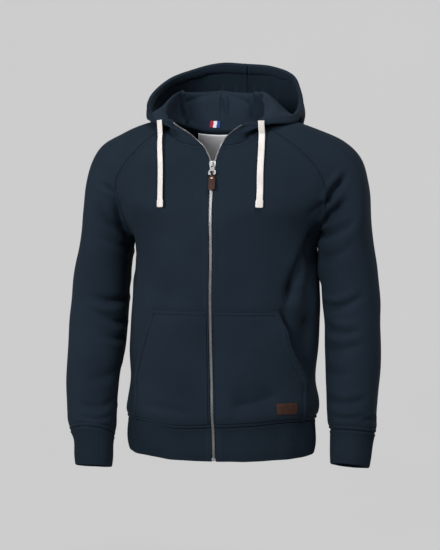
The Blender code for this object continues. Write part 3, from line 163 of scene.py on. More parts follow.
# Sleeves below the underarm, one row for each ring. l runs 0 at the underarm to 1 at the cuff seam. tilt lowers the back
# of a ring, and front and back are its half depths.
SLEEVE_RIGHT = table("l      z       inner   outer   y      front  back   tilt  lean",
    (0.00, -0.235,  0.1890, 0.2990,  0.006, 0.078, 0.078, 0.00, 0.00),
    (0.02, -0.242,  0.1935, 0.3010,  0.006, 0.0775,0.0775,0.00, 0.00),
    (0.14, -0.285,  0.2010, 0.3120,  0.006, 0.074, 0.074, 0.00, 0.00),
    (0.30, -0.345,  0.2045, 0.3215,  0.004, 0.069, 0.069, 0.02, 0.00),
    (0.46, -0.405,  0.2080, 0.3270,  0.000, 0.067, 0.067, 0.08, 0.00),
    (0.62, -0.465,  0.2115, 0.3280, -0.010, 0.064, 0.064, 0.18, 0.00),
    (0.78, -0.525,  0.2200, 0.3260, -0.027, 0.059, 0.059, 0.26, 0.00),
    (0.92, -0.592,  0.2215, 0.3175, -0.047, 0.053, 0.053, 0.33, 0.00),
    (0.97, -0.616,  0.2205, 0.3155, -0.053, 0.050, 0.050, 0.42, 0.00),
    (1.00, -0.632,  0.2235, 0.3090, -0.058, 0.046, 0.046, 0.47, 0.00))
SLEEVE_LEFT = table("l      z       inner   outer   y      front  back   tilt  lean",
    (0.00, -0.235,  0.1910, 0.2990,  0.006, 0.078, 0.078, 0.00, 0.00),
    (0.02, -0.242,  0.1945, 0.3003,  0.006, 0.0775,0.0775,0.00, 0.00),
    (0.14, -0.285,  0.1965, 0.3065,  0.006, 0.074, 0.074, 0.00, 0.00),
    (0.30, -0.345,  0.2005, 0.3130,  0.004, 0.069, 0.069, 0.02, 0.00),
    (0.46, -0.405,  0.2060, 0.3165,  0.001, 0.067, 0.067, 0.06, 0.00),
    (0.62, -0.465,  0.2085, 0.3180, -0.006, 0.064, 0.064, 0.12, 0.00),
    (0.78, -0.525,  0.2120, 0.3150, -0.018, 0.059, 0.059, 0.17, 0.00),
    (0.92, -0.583,  0.2165, 0.3120, -0.032, 0.053, 0.053, 0.21, 0.00),
    (0.97, -0.602,  0.2180, 0.3120, -0.036, 0.050, 0.050, 0.22, 0.03),
    (1.00, -0.614,  0.2225, 0.3090, -0.039, 0.046, 0.046, 0.23, 0.05))

# Cuffs, from the seam (0) to the open end (1).
CUFF_RIGHT = table("l      z       inner   outer   y      front  back   tilt  lean",
    (0.00, -0.632,  0.2235, 0.3090, -0.058, 0.046, 0.046, 0.47, 0.00),
    (0.25, -0.649,  0.2246, 0.3018, -0.062, 0.043, 0.043, 0.41, 0.00),
    (0.75, -0.681,  0.2238, 0.2985, -0.069, 0.0415,0.0415,0.31, 0.00),
    (1.00, -0.697,  0.2248, 0.2955, -0.073, 0.039, 0.039, 0.27, 0.00))
CUFF_LEFT = table("l      z       inner   outer   y      front  back   tilt  lean",
    (0.00, -0.614,  0.2225, 0.3090, -0.039, 0.046, 0.046, 0.23, 0.05),
    (0.25, -0.631,  0.2236, 0.3050, -0.043, 0.043, 0.043, 0.25, 0.05),
    (0.75, -0.664,  0.2246, 0.3008, -0.051, 0.0415,0.0415,0.28, 0.06),
    (1.00, -0.680,  0.2258, 0.2980, -0.055, 0.039, 0.039, 0.30, 0.06))

# Half of the gap between the two fronts, where the zip shows and then stands open.
HALF_GAP = table("v     gap",
    (1.50, 0.0042), (1.60, 0.0042), (1.70, 0.0045), (1.76, 0.0050), (1.82, 0.0066), (1.90, 0.0114), (2.00, 0.0196))

# Hood, guide lines round half of it. a runs 0 at the centre seam to 1 at the zip edge. Between the neck seam and the rim
# the cloth rises to the roll, drops to the valley behind the neck, and comes up again in the outer wall.
HOOD_LEFT = table("a      roll_x roll_y roll_z  valley_x valley_y valley_z  wall_x wall_y wall_z  rim_x rim_y rim_z",
    (0.00, -0.022,  0.090,  0.073,  0.000,  0.160, -0.078,  0.012,  0.208,  0.000,  0.0254,  0.135,  0.1353),
    (0.16,  0.022,  0.086,  0.070,  0.052,  0.150, -0.064,  0.074,  0.195,  0.004,  0.0750,  0.131,  0.1295),
    (0.30,  0.054,  0.067,  0.067,  0.100,  0.120, -0.030,  0.1245,  0.162,  0.016,  0.1145,  0.109,  0.1145),
    (0.42,  0.072,  0.036,  0.066,  0.134,  0.085, -0.004,  0.1485,  0.110,  0.022,  0.1370,  0.078,  0.0930),
    (0.52,  0.086,  0.000,  0.056,  0.134,  0.030,  0.018,  0.1535,  0.056,  0.018,  0.1495,  0.040,  0.0640),
    (0.62,  0.100, -0.036,  0.032,  0.126, -0.022,  0.020,  0.1495,  0.002,  0.016,  0.1520,  0.002,  0.0375),
    (0.75,  0.090, -0.072,  0.006,  0.114, -0.063,  0.010,  0.142, -0.046,  0.000,  0.1430, -0.042,  0.0130),
    (0.88,  0.062, -0.095, -0.024,  0.082, -0.095, -0.013,  0.104, -0.088, -0.005,  0.1080, -0.077,  0.0060),
    (1.00,  0.020, -0.097, -0.034,  0.034, -0.099, -0.021,  0.049, -0.100, -0.011,  0.0633, -0.098, -0.0046))
HOOD_RIGHT = table("a      roll_x roll_y roll_z  valley_x valley_y valley_z  wall_x wall_y wall_z  rim_x rim_y rim_z",
    (0.00,  0.022,  0.090,  0.073,  0.000,  0.160, -0.078, -0.012,  0.208,  0.000, -0.0254,  0.135,  0.1353),
    (0.16,  0.064,  0.086,  0.071,  0.052,  0.150, -0.064,  0.050,  0.196,  0.004,  0.0300,  0.131,  0.1380),
    (0.30,  0.096,  0.064,  0.070,  0.102,  0.122, -0.030,  0.110,  0.166,  0.018,  0.0800,  0.112,  0.1260),
    (0.42,  0.100,  0.032,  0.070,  0.138,  0.088, -0.006,  0.160,  0.112,  0.020,  0.1260,  0.073,  0.1030),
    (0.52,  0.112,  0.002,  0.056,  0.140,  0.030,  0.020,  0.160,  0.056,  0.022,  0.1520,  0.030,  0.0720),
    (0.62,  0.118, -0.032,  0.034,  0.140, -0.018,  0.024,  0.156,  0.000,  0.022,  0.1585, -0.004,  0.0485),
    (0.75,  0.116, -0.066,  0.014,  0.134, -0.056,  0.018,  0.148, -0.046,  0.010,  0.1485, -0.038,  0.0250),
    (0.88,  0.084, -0.093, -0.018,  0.101, -0.091, -0.008,  0.117, -0.084,  0.000,  0.1265, -0.069,  0.0100),
    (1.00,  0.042, -0.096, -0.034,  0.060, -0.097, -0.020,  0.078, -0.096, -0.010,  0.0956, -0.092,  0.0015))

# Large folds of a front, in the panel's own directions: v up, w outwards. depth under 0 is a trough.
FOLDS_LEFT = table("v0    w0     v1     w1     width  depth",
    (1.06, 0.97, 0.66, 0.76, 0.020, -0.0160),
    (0.70, 0.77, 0.40, 0.72, 0.022, -0.0070),
    (1.00, 0.74, 0.60, 0.62, 0.030,  0.0040))
FOLDS_RIGHT = table("v0    w0     v1     w1     width  depth",
    (1.08, 0.97, 0.80, 0.84, 0.024, -0.0050))
PANEL_V, PANEL_W = 0.37, 0.24      # metres for each unit of v and w on a front


def bezier(p0, p1, p2, p3, w):
    w = np.asarray(w, float)[..., None]
    return p0 * (1 - w) ** 3 + 3 * p1 * w * (1 - w) ** 2 + 3 * p2 * w * w * (1 - w) + p3 * w ** 3


def pt(x, y, z):
    return np.stack(np.broadcast_arrays(x, y, z), -1).astype(float)


def smooth(x):
    x = np.clip(x, 0, 1)
    return x * x * (3 - 2 * x)


def neck_lean(p, v):
    """The neck sits a little to the wearer's right of the body, more at the back."""
    p = p.copy()
    p[..., 0] += smooth((np.asarray(v) - 1.3) / 0.7) * (-0.0085 - 0.045 * np.clip(p[..., 1] + 0.098, 0, 0.2))
    return p


def body_arc(t, w, side, end, gap):
    """Level curve round a quarter of the body, from the centre (w 0) to the side seam (1)."""
    name = "left" if side > 0 else "right"
    half = t[name]
    cx = t["zip_x"] + side * gap if end > 0 else 0.0 * half
    cy = -t["front"] if end > 0 else t["back"]
    p0, p3 = pt(cx, cy, t["z"]), pt(side * half, t["side_y"], t["z"])
    across, deep = np.abs(side * half - cx), 0.62 * np.abs(t["side_y"] - cy)
    p = bezier(p0, p0 + pt(side * 0.58 * across, 0, 0), p3 - pt(0 * deep, end * deep, 0), p3, w)
    ride = curve(HEM_WAVE["w"], HEM_WAVE[name], w) if end > 0 else HEM_WAVE[name][-1] * smooth(w)
    p[..., 2] += t["wave"] * ride
    return p


def fold_depth(folds, v, w):
    """How far large folds move the cloth outwards at v, w."""
    total = np.zeros(np.broadcast(v, w).shape)
    for v0, w0, v1, w1, width, depth in zip(*(folds[k] for k in ("v0", "w0", "v1", "w1", "width", "depth"))):
        dv, dw = (v1 - v0) * PANEL_V, (w1 - w0) * PANEL_W
        pv, pw = (v - v0) * PANEL_V, (w - w0) * PANEL_W
        along = (pv * dv + pw * dw) / (dv * dv + dw * dw)
        off = (pv * dw - pw * dv) / np.hypot(dv, dw)
        total = total + depth * np.exp(-(off / width) ** 2) * smooth((along + 0.12) / 0.3) * smooth((1.15 - along) / 0.45)
    return total


def panel(v, w, side, end):
    """Front (end 1) or back (end -1) of the body at height v, from the centre (w 0) to the side or raglan seam (1).
    side is 1 on the wearer's left (+X) and -1 on the right."""
    v, w = np.broadcast_arrays(np.asarray(v, float), np.asarray(w, float))
    gap = curve(HALF_GAP["v"], HALF_GAP["gap"], np.clip(v, 1.5, 2))
    low = body_arc(at(TORSO, "v", np.clip(v, 0, 1)), w, side, end, gap)
    up = np.clip(v, 1, 2)
    name = "left_" if side > 0 else "right_"
    c, r = at(YOKE, "v", up), at(RAGLAN_FRONT if end > 0 else RAGLAN_BACK, "v", up)
    if end > 0:
        p0 = pt(c["front_x"] + side * gap, c["front_y"], c["front_z"])
    else:
        p0 = pt(c["back_x"], c["back_y"], c["back_z"])
    p3 = pt(side * r[name + "x"], r[name + "y"], r["z"])
    across, deep = np.abs(p3[..., 0] - p0[..., 0]), 0.62 * np.abs(p3[..., 1] - p0[..., 1])
    turn = np.radians(r["panel_turn"])
    reach = 0.40 * across + (deep - 0.40 * across) * np.clip(1 - (up - 1) / 0.42, 0, 1)
    p1 = p0 + pt(side * 0.58 * across, 0 * across, 0.10 * (p3[..., 2] - p0[..., 2]))
    p2 = p3 - pt(side * np.cos(turn), end * -np.sin(turn) * -1, r["panel_rise"]) * reach[..., None]
    high = neck_lean(bezier(p0, p1, p2, p3, w), up)
    p = np.where((v <= 1)[..., None], low, high)
    if end > 0:
        out = fold_depth(FOLDS_LEFT if side > 0 else FOLDS_RIGHT, v, w) * smooth((1 - w) / 0.10)
        q = np.radians(90 * np.clip(w, 0, 1) ** 1.6)
        p = p + pt(side * np.sin(q), -np.cos(q), 0 * q) * out[..., None]
    return p


def rib(r, w, side, end):
    """Hem rib, r from its seam (0) to its lower edge (1)."""
    r, w = np.broadcast_arrays(np.asarray(r, float), np.asarray(w, float))
    return body_arc(at(RIB, "r", r), w, side, end, HALF_GAP["gap"][0] + 0 * r)


def ring(s, w, side):
    """Closed ring of a sleeve or cuff, from the inner seam (w 0) over the front, the outside (0.5) and the back."""
    first = w <= 0.5
    near = np.where(first, 1.0, -1.0)
    top, end = pt(side * s["outer"], s["y"], s["z"]), pt(side * s["inner"], s["y"], s["z"])
    depth = np.where(first, s["front"], s["back"]) * 4 / 3
    u = np.where(first, w * 2, 2 - w * 2)
    p = bezier(end, end + pt(0 * depth, -near * depth, 0), top + pt(0 * depth, -near * depth, 0), top, u)
    p[..., 2] -= s["tilt"] * (p[..., 1] - s["y"]) + s["lean"] * (side * p[..., 0] - 0.5 * (s["inner"] + s["outer"]))
    return p


def sleeve(q, w, side):
    """q runs from 2 at the neck to 1 at the underarm and down to 0 at the cuff seam. w goes from the front seam (0) over
    the outside (0.5) to the back seam (1)."""
    q, w = np.broadcast_arrays(np.asarray(q, float), np.asarray(w, float))
    v = np.clip(q, 1, 2)
    f, b, o = at(RAGLAN_FRONT, "v", v), at(RAGLAN_BACK, "v", v), at(SLEEVE_TOP, "v", v)
    name = "left" if side > 0 else "right"
    low = ring(at(SLEEVE_LEFT if side > 0 else SLEEVE_RIGHT, "l", np.clip(1 - q, 0, 1)), w, side)
    first = w <= 0.5
    pick = {k: np.where(first, f[k], b[k]) for k in f}
    near = np.where(first, 1.0, -1.0)
    end = pt(side * pick[name + "_x"], pick[name + "_y"], pick["z"])
    top = pt(side * o[name], o["y"], o[name + "_z"])
    turn = np.radians(pick["sleeve_turn"])
    end_pull = end + pt(side * np.cos(turn), near * np.sin(turn), pick["sleeve_rise"]) * pick["reach"][..., None]
    top_pull = top + pt(0 * near, -near, 0 * near) * pick["top_reach"][..., None]
    high = neck_lean(bezier(end, end_pull, top_pull, top, np.where(first, w * 2, 2 - w * 2)), v)
    return np.where((q < 1)[..., None], low, high)


def cuff(c, w, side):
    c, w = np.broadcast_arrays(np.asarray(c, float), np.asarray(w, float))
    return ring(at(CUFF_LEFT if side > 0 else CUFF_RIGHT, "l", c), w, side)


# Where the hood's a passes from the back over the sleeve's neck edge to the front.
AT_BACK, AT_FRONT = 0.30, 0.62


def neck(a, side):
    """Neck seam of one side, from the centre back (a 0) to the front edge (1)."""
    a = np.asarray(a, float)
    two = np.full(a.shape, 2.0)
    on_back = panel(two, np.clip(a / AT_BACK, 0, 1), side, -1)
    on_top = sleeve(two, 1 - np.clip((a - AT_BACK) / (AT_FRONT - AT_BACK), 0, 1), side)
    on_front = panel(two, 1 - np.clip((a - AT_FRONT) / (1 - AT_FRONT), 0, 1), side, 1)
    a = a[..., None]
    return np.where(a < AT_BACK, on_back, np.where(a < AT_FRONT, on_top, on_front))


HOOD_S = (0.0, 0.24, 0.52, 0.76, 1.0)     # neck seam, roll, valley, outer wall, rim


def hood(a, s, side):
    """Hood of one side, a as in neck and s from the neck seam (0) to the rim (1)."""
    a, s = np.broadcast_arrays(np.asarray(a, float), np.asarray(s, float))
    tab = HOOD_LEFT if side > 0 else HOOD_RIGHT
    g = at(tab, "a", a)
    lines = [neck(a, side)] + [pt(side * g[n + "_x"], g[n + "_y"], g[n + "_z"]) for n in ("roll", "valley", "wall", "rim")]
    ks = np.array(HOOD_S)
    steps = np.diff(ks)
    sec = [(lines[i + 1] - lines[i]) / steps[i] for i in range(4)]
    slope = [sec[0]] + [(sec[i - 1] * steps[i] + sec[i] * steps[i - 1]) / (steps[i] + steps[i - 1]) for i in (1, 2, 3)] + [sec[3]]
    out = np.zeros(a.shape + (3,))
    for i in range(4):
        h = steps[i]
        t = ((s - ks[i]) / h)[..., None]
        part = (lines[i] * (1 + 2 * t) * (1 - t) ** 2 + lines[i + 1] * t * t * (3 - 2 * t)
                + slope[i] * h * t * (1 - t) ** 2 - slope[i + 1] * h * t * t * (1 - t))
        last = i == 3
        inside = (s >= ks[i]) & ((s < ks[i + 1]) | last)
        out = np.where(inside[..., None], part, out)
    return out

# ---------------------------------------------------------------- pockets, patch, cords
POCKET = table("v      left   right",
    (0.000, 0.722, 0.646),
    (0.120, 0.698, 0.605),
    (0.220, 0.705, 0.632),
    (0.330, 0.578, 0.572),
    (0.430, 0.495, 0.515),
    (0.530, 0.455, 0.472),
    (0.620, 0.431, 0.438))
PATCH_BOX = dict(v0=0.066, v1=0.131, w0=0.418, w1=0.594)
CORD_EXIT = dict(left=0.905, right=0.905)
CORD_END = dict(left=(0.0875, -0.1690), right=(-0.1095, -0.1680))
# How far each hangs to the side of a straight line, from its exit (0) to its end (1), and which way its flat faces
CORD_HANG = table("t      left     right",
    (0.00, -0.0090,  0.0038),
    (0.13, -0.0073,  0.0046),
    (0.47, -0.0026,  0.0067),
    (0.81,  0.0010,  0.0051),
    (1.00,  0.0018,  0.0030))
CORD_FACE = dict(left=(0.05, 0.0054), right=(-0.52, 0.0068))


def spread(length, fine, edges=(True, True), step=0.0035):
    """Values from 0 to 1 for a run of that length: close together near its ends, where the seams are."""
    near = [d for d in (0, .0007, .0014, .0021, .0030, .0042, .0054, .0064, .0072, .0080, .0092, .0110)]
    a = [d / length for d in near] if edges[0] else [0.0]
    b = [1 - d / length for d in near][::-1] if edges[1] else [1.0]
    n = max(2, int(round((b[0] - a[-1]) * length / (step * fine))))
    return np.array(a + list(np.linspace(a[-1], b[0], n + 1)[1:-1]) + b)


class Cloth:
    """Fine grid of a piece: rows r, columns c, middle points p. closed says in which rows the last column is the first."""

    def __init__(self, name, fn, r, c, outside, closed=None):
        self.name, self.fn, self.r, self.c = name, fn, np.asarray(r, float), np.asarray(c, float)
        rr, cc = np.meshgrid(self.r, self.c, indexing="ij")
        self.p0 = fn(rr, cc)
        self.rr, self.cc = rr, cc
        self.closed = np.zeros(len(self.r), bool) if closed is None else closed
        i, j = len(self.r) // 2, len(self.c) // 2
        n = np.cross(self.p0[i + 1, j] - self.p0[i - 1, j], self.p0[i, j + 1] - self.p0[i, j - 1])
        self.sign = 1.0 if n @ outside(self.p0[i, j]) > 0 else -1.0
        self.p, self.n = self.p0.copy(), None

    def run(self, axis):
        """Distance along the grid from its first row (0) or column (1), and to its last."""
        d = np.linalg.norm(np.diff(self.p0, axis=axis), axis=-1)
        z = np.zeros_like(np.take(self.p0[..., 0], [0], axis=axis))
        s = np.concatenate([z, np.cumsum(d, axis=axis)], axis=axis)
        return s, np.take(s, [-1], axis=axis) - s

    def read(self, what, r, c):
        """The grid's value at places r, c, between its points."""
        r, c = np.broadcast_arrays(np.asarray(r, float), np.asarray(c, float))
        i = np.clip(np.searchsorted(self.r, r, side="right") - 1, 0, len(self.r) - 2)
        j = np.clip(np.searchsorted(self.c, c, side="right") - 1, 0, len(self.c) - 2)
        a = ((r - self.r[i]) / (self.r[i + 1] - self.r[i]))[..., None]
        b = ((c - self.c[j]) / (self.c[j + 1] - self.c[j]))[..., None]
        g = what if what.ndim == 3 else what[..., None]
        out = g[i, j] * (1 - a) * (1 - b) + g[i + 1, j] * a * (1 - b) + g[i, j + 1] * (1 - a) * b + g[i + 1, j + 1] * a * b
        return out if what.ndim == 3 else out[..., 0]

    def on(self, r, c, lift=0.0):
        """Place on the folded cloth, lifted along its normal, and the normal."""
        p, n = self.read(self.p, r, c), self.read(self.n, r, c)
        n = n / np.linalg.norm(n, axis=-1, keepdims=True)
        return p + n * np.asarray(lift)[..., None], n


def point_keys(p):
    k = np.round(p.reshape(-1, 3) * 5e4).astype(np.int64) + (1 << 20)
    return (k[:, 0] << 42) | (k[:, 1] << 21) | k[:, 2]


def shared_normals(cloths):
    """Normals of the grids as they are now; pieces that meet at a point of their first grids share one normal there."""
    acc, keys = [], []
    for c in cloths:
        n = np.zeros_like(c.p)
        q00, q01, q11, q10 = c.p[:-1, :-1], c.p[:-1, 1:], c.p[1:, 1:], c.p[1:, :-1]
        f = np.cross(q11 - q00, q10 - q01) * -c.sign
        n[:-1, :-1] += f
        n[:-1, 1:] += f
        n[1:, 1:] += f
        n[1:, :-1] += f
        acc.append(n.reshape(-1, 3) * 1e4)
        keys.append(point_keys(c.p0))
    every, total = np.concatenate(keys), np.concatenate(acc)
    uniq, inv = np.unique(every, return_inverse=True)
    s = np.stack([np.bincount(inv, total[:, k], len(uniq)) for k in range(3)], -1)
    s /= np.maximum(np.linalg.norm(s, axis=1, keepdims=True), 1e-12)
    out, at0 = s[inv], 0
    for c in cloths:
        size = c.p.shape[0] * c.p.shape[1]
        c.n = out[at0:at0 + size].reshape(c.p.shape).copy()
        at0 += size


# rows and columns; the same values on both sides of a seam, so that the pieces meet point by point
LOW_BODY = spread(0.375, 1.0, (True, False))
YOKE_ROWS = 1 + spread(0.27, 1.0, (False, True), 0.0038)[1:]
V_ROWS = np.concatenate([LOW_BODY, YOKE_ROWS])
LOW_SLEEVE = spread(0.40, 1.05, (True, False), 0.0040)
Q_ROWS = np.concatenate([LOW_SLEEVE, YOKE_ROWS])
FRONT_COLS = spread(0.25, 1.0)
SIDE_COLS = spread(0.27, 1.15, (False, True))
BACK_COLS = np.concatenate([-SIDE_COLS[::-1], SIDE_COLS[1:]])
SLEEVE_COLS = spread(0.36, 1.20, (True, True))
S_ROWS = np.concatenate([spread(0.36, 1.0, (True, False), 0.0050)[:-1] * 0.94, 0.94 + 0.06 * np.linspace(0, 1, 13)])
A_COLS = np.concatenate([AT_BACK * SIDE_COLS, AT_BACK + (AT_FRONT - AT_BACK) * (1 - SLEEVE_COLS[::-1][1:]),
                         AT_FRONT + (1 - AT_FRONT) * (1 - FRONT_COLS[::-1][1:])])


def from_axis(x=0.0, y=0.0):
    return lambda p: np.array([p[0] - x, p[1] - y, 0.0])


def back_fn(v, c):
    left = panel(v, np.clip(c, 0, 1), 1, -1)
    right = panel(v, np.clip(-c, 0, 1), -1, -1)
    return np.where((c < 0)[..., None], right, left)


cloth = {}
for side, who in ((1, "left"), (-1, "right")):
    cloth["front_" + who] = Cloth("front_" + who, lambda v, w, s=side: panel(v, w, s, 1), V_ROWS, FRONT_COLS, from_axis())
    cloth["sleeve_" + who] = Cloth("sleeve_" + who, lambda q, w, s=side: sleeve(q, w, s), Q_ROWS, SLEEVE_COLS,
                                   from_axis(side * 0.25), closed=Q_ROWS <= 1.0)
    h = Cloth("hood_" + who, lambda s, a, sd=side: hood(a, s, sd), S_ROWS, A_COLS, lambda p: np.array([0, 0, 1.0]))
    n = np.cross(h.p0[1, 2] - h.p0[0, 2], h.p0[0, 3] - h.p0[0, 1])
    h.sign = 1.0 if n[1] > 0 else -1.0
    cloth["hood_" + who] = h
cloth["back"] = Cloth("back", back_fn, V_ROWS, BACK_COLS, from_axis())
BODY = list(cloth.values())

# the pieces pass the level of the underarm in one even sweep, except beside their seams
for c in BODY:
    if c.name.startswith("hood"):
        continue
    s = c.run(0)[0]
    i0 = int(np.argmin(np.abs(c.r - 1.0)))
    left_run, right_run = c.run(1)
    hold = smooth(np.minimum(left_run, right_run) / 0.030) if c.name != "back" else smooth(np.minimum(left_run, right_run) / 0.030)
    if c.name.startswith("front"):
        hold = smooth(right_run / 0.030)
    hold = hold * np.exp(-((s - s[i0]) / 0.026) ** 2)
    for _ in range(90):
        c.p0[1:-1] += 0.5 * hold[1:-1, :, None] * (0.5 * (c.p0[:-2] + c.p0[2:]) - c.p0[1:-1])
    c.p = c.p0.copy()
shared_normals(BODY)

# ---------------------------------------------------------------- folds
# Each fold: piece, its line in the piece's own rows and columns, half width, depth (under 0 is a trough), how much
# the cloth stands up along one side of it (over 0 on the left of its run, under 0 on the right), and how its depth
# fades at its two ends. skew widens it on the left of its run.
FOLDS = []


def fold(piece, line, width, depth, lip=0.0, ends=(0.25, 0.3), skew=1.0):
    FOLDS.append((piece, line, width, depth, lip, ends, skew))


# wearer's left sleeve: the pulls from the armhole, the elbow and the stacked cloth above the cuff
fold("sleeve_left", [(1.29, 0.00), (1.35, 0.06), (1.38, 0.14), (1.41, 0.25)], 0.0085, -0.0062, 0.0030, (0.04, 0.5))
fold("sleeve_left", [(1.17, 0.00), (1.23, 0.08), (1.28, 0.20)], 0.0085, -0.0050, 0.0026, (0.04, 0.5))
fold("sleeve_left", [(1.05, 0.01), (1.07, 0.14), (1.15, 0.29)], 0.0100, -0.0044, 0.0022, (0.06, 0.5))
fold("sleeve_left", [(0.90, 0.03), (0.93, 0.20), (1.01, 0.34)], 0.0130, -0.0024, 0.0010, (0.2, 0.5))
fold("sleeve_left", [(0.66, 0.02), (0.64, 0.16), (0.67, 0.27), (0.73, 0.37)], 0.0090, -0.0036, 0.0020, (0.12, 0.4))
fold("sleeve_left", [(0.57, 0.02), (0.52, 0.12), (0.50, 0.24), (0.53, 0.34)], 0.0100, -0.0034, 0.0014, (0.12, 0.4))
fold("sleeve_left", [(0.43, 0.03), (0.41, 0.20), (0.46, 0.37)], 0.0120, -0.0022, 0.0010, (0.2, 0.4))
fold("sleeve_left", [(0.30, 0.02), (0.27, 0.15), (0.29, 0.30)], 0.0140, -0.0016, 0.0008, (0.2, 0.4))
fold("sleeve_left", [(0.17, 0.02), (0.13, 0.20), (0.16, 0.40)], 0.0090, -0.0022, 0.0012, (0.15, 0.3))
fold("sleeve_left", [(0.085, 0.04), (0.060, 0.24), (0.095, 0.42)], 0.0055, -0.0015, 0.0009, (0.2, 0.3))
fold("sleeve_left", [(0.045, 0.30), (0.060, 0.42), (0.045, 0.52)], 0.0060, -0.0022, 0.0010, (0.3, 0.3))
# where the upper arm rests against the body
fold("sleeve_left", [(1.07, 0.050), (0.97, 0.045), (0.88, 0.040), (0.80, 0.040), (0.73, 0.040)], 0.0120, 0.0034, 0.0000, (0.15, 0.35))
# wearer's right sleeve
fold("sleeve_right", [(1.02, 0.02), (1.14, 0.025), (1.26, 0.03), (1.38, 0.05)], 0.0110, -0.0040, 0.0010, (0.2, 0.4))
fold("sleeve_right", [(1.36, 0.00), (1.37, 0.08), (1.36, 0.17)], 0.0065, -0.0026, 0.0014, (0.05, 0.5))
fold("sleeve_right", [(1.10, 0.01), (1.13, 0.09), (1.20, 0.16)], 0.0080, -0.0026, 0.0012, (0.1, 0.5))
fold("sleeve_right", [(0.97, 0.01), (0.98, 0.12), (1.04, 0.22)], 0.0100, -0.0022, 0.0012, (0.1, 0.5))
fold("sleeve_right", [(0.66, 0.01), (0.655, 0.14), (0.69, 0.29)], 0.0100, -0.0038, 0.0022, (0.12, 0.45))
fold("sleeve_right", [(0.53, 0.01), (0.545, 0.12), (0.61, 0.24)], 0.0090, -0.0034, 0.0018, (0.12, 0.45))
fold("sleeve_right", [(0.44, 0.01), (0.44, 0.11), (0.475, 0.21)], 0.0085, -0.0024, 0.0014, (0.12, 0.45))
fold("sleeve_right", [(0.28, 0.01), (0.22, 0.13), (0.21, 0.27)], 0.0130, -0.0018, 0.0008, (0.2, 0.4))
fold("sleeve_right", [(0.14, 0.02), (0.09, 0.15), (0.10, 0.31)], 0.0095, -0.0020, 0.0012, (0.2, 0.3))
fold("sleeve_right", [(0.07, 0.03), (0.035, 0.17), (0.05, 0.34)], 0.0055, -0.0014, 0.0008, (0.2, 0.3))
# the same kinds of fold behind both sleeves
fold("sleeve_left", [(1.30, 1.00), (1.35, 0.93), (1.40, 0.79)], 0.0095, -0.0046, -0.0022, (0.05, 0.5))
fold("sleeve_left", [(1.12, 0.99), (1.16, 0.87), (1.24, 0.73)], 0.0105, -0.0038, -0.0020, (0.1, 0.5))
fold("sleeve_left", [(0.94, 0.98), (0.93, 0.84), (0.99, 0.71)], 0.0120, -0.0026, -0.0012, (0.15, 0.5))
fold("sleeve_left", [(0.69, 0.97), (0.66, 0.82), (0.71, 0.67)], 0.0115, -0.0030, -0.0016, (0.15, 0.4))
fold("sleeve_left", [(0.52, 0.97), (0.55, 0.84), (0.51, 0.70)], 0.0105, -0.0024, -0.0012, (0.2, 0.4))
fold("sleeve_left", [(0.35, 0.96), (0.33, 0.80), (0.37, 0.66)], 0.0130, -0.0020, -0.0008, (0.2, 0.4))
fold("sleeve_left", [(0.18, 0.96), (0.14, 0.79), (0.18, 0.62)], 0.0105, -0.0024, -0.0012, (0.2, 0.3))
fold("sleeve_left", [(0.08, 0.90), (0.055, 0.74), (0.085, 0.58)], 0.0060, -0.0015, -0.0008, (0.2, 0.3))
fold("sleeve_right", [(1.33, 1.00), (1.36, 0.92), (1.37, 0.80)], 0.0090, -0.0042, -0.0020, (0.05, 0.5))
fold("sleeve_right", [(1.15, 0.99), (1.17, 0.89), (1.27, 0.76)], 0.0110, -0.0034, -0.0020, (0.1, 0.5))
fold("sleeve_right", [(0.98, 0.98), (0.96, 0.86), (1.00, 0.74)], 0.0105, -0.0028, -0.0012, (0.15, 0.5))
fold("sleeve_right", [(0.72, 0.97), (0.70, 0.80), (0.74, 0.64)], 0.0120, -0.0028, -0.0014, (0.15, 0.4))
fold("sleeve_right", [(0.57, 0.97), (0.58, 0.85), (0.55, 0.72)], 0.0095, -0.0026, -0.0012, (0.2, 0.4))
fold("sleeve_right", [(0.38, 0.96), (0.34, 0.82), (0.36, 0.69)], 0.0125, -0.0020, -0.0010, (0.2, 0.4))
fold("sleeve_right", [(0.16, 0.96), (0.13, 0.81), (0.15, 0.66)], 0.0100, -0.0024, -0.0012, (0.2, 0.3))
fold("sleeve_right", [(0.06, 0.92), (0.045, 0.78), (0.07, 0.60)], 0.0060, -0.0015, -0.0008, (0.2, 0.3))
# fronts: the long fold from the wearer's left armhole to the pocket, and soft pulls
fold("front_left", [(1.19, 0.95), (0.99, 0.76), (0.86, 0.62), (0.77, 0.545), (0.69, 0.515), (0.61, 0.505)], 0.0120, -0.0080, 0.0000, (0.10, 0.35), 3.0)
fold("front_left", [(1.14, 0.90), (0.99, 0.77), (0.86, 0.63), (0.77, 0.553), (0.69, 0.520), (0.63, 0.510)], 0.0064, -0.0094, 0.0000, (0.15, 0.35), 1.5)
fold("front_left", [(1.07, 0.95), (0.96, 0.84), (0.87, 0.72), (0.80, 0.635), (0.74, 0.590)], 0.0110, -0.0092, 0.0000, (0.15, 0.55), 1.6)
fold("front_left", [(1.05, 0.985), (0.97, 0.985), (0.88, 0.985)], 0.0110, 0.0024, 0.0000, (0.25, 0.3))
fold("front_left", [(0.66, 0.47), (0.52, 0.49), (0.38, 0.57), (0.24, 0.71)], 0.0110, -0.0044, 0.0000, (0.15, 0.3))
fold("front_left", [(0.60, 0.74), (0.40, 0.71), (0.20, 0.80)], 0.0140, -0.0040, 0.0000, (0.2, 0.3))
fold("front_left", [(0.13, 0.07), (0.13, 0.17), (0.145, 0.27), (0.165, 0.36), (0.19, 0.48)], 0.0250, -0.0056, 0.0000, (0.25, 0.3))
fold("front_left", [(1.30, 0.97), (1.26, 0.86), (1.24, 0.74)], 0.0100, -0.0024, 0.0000, (0.05, 0.5))
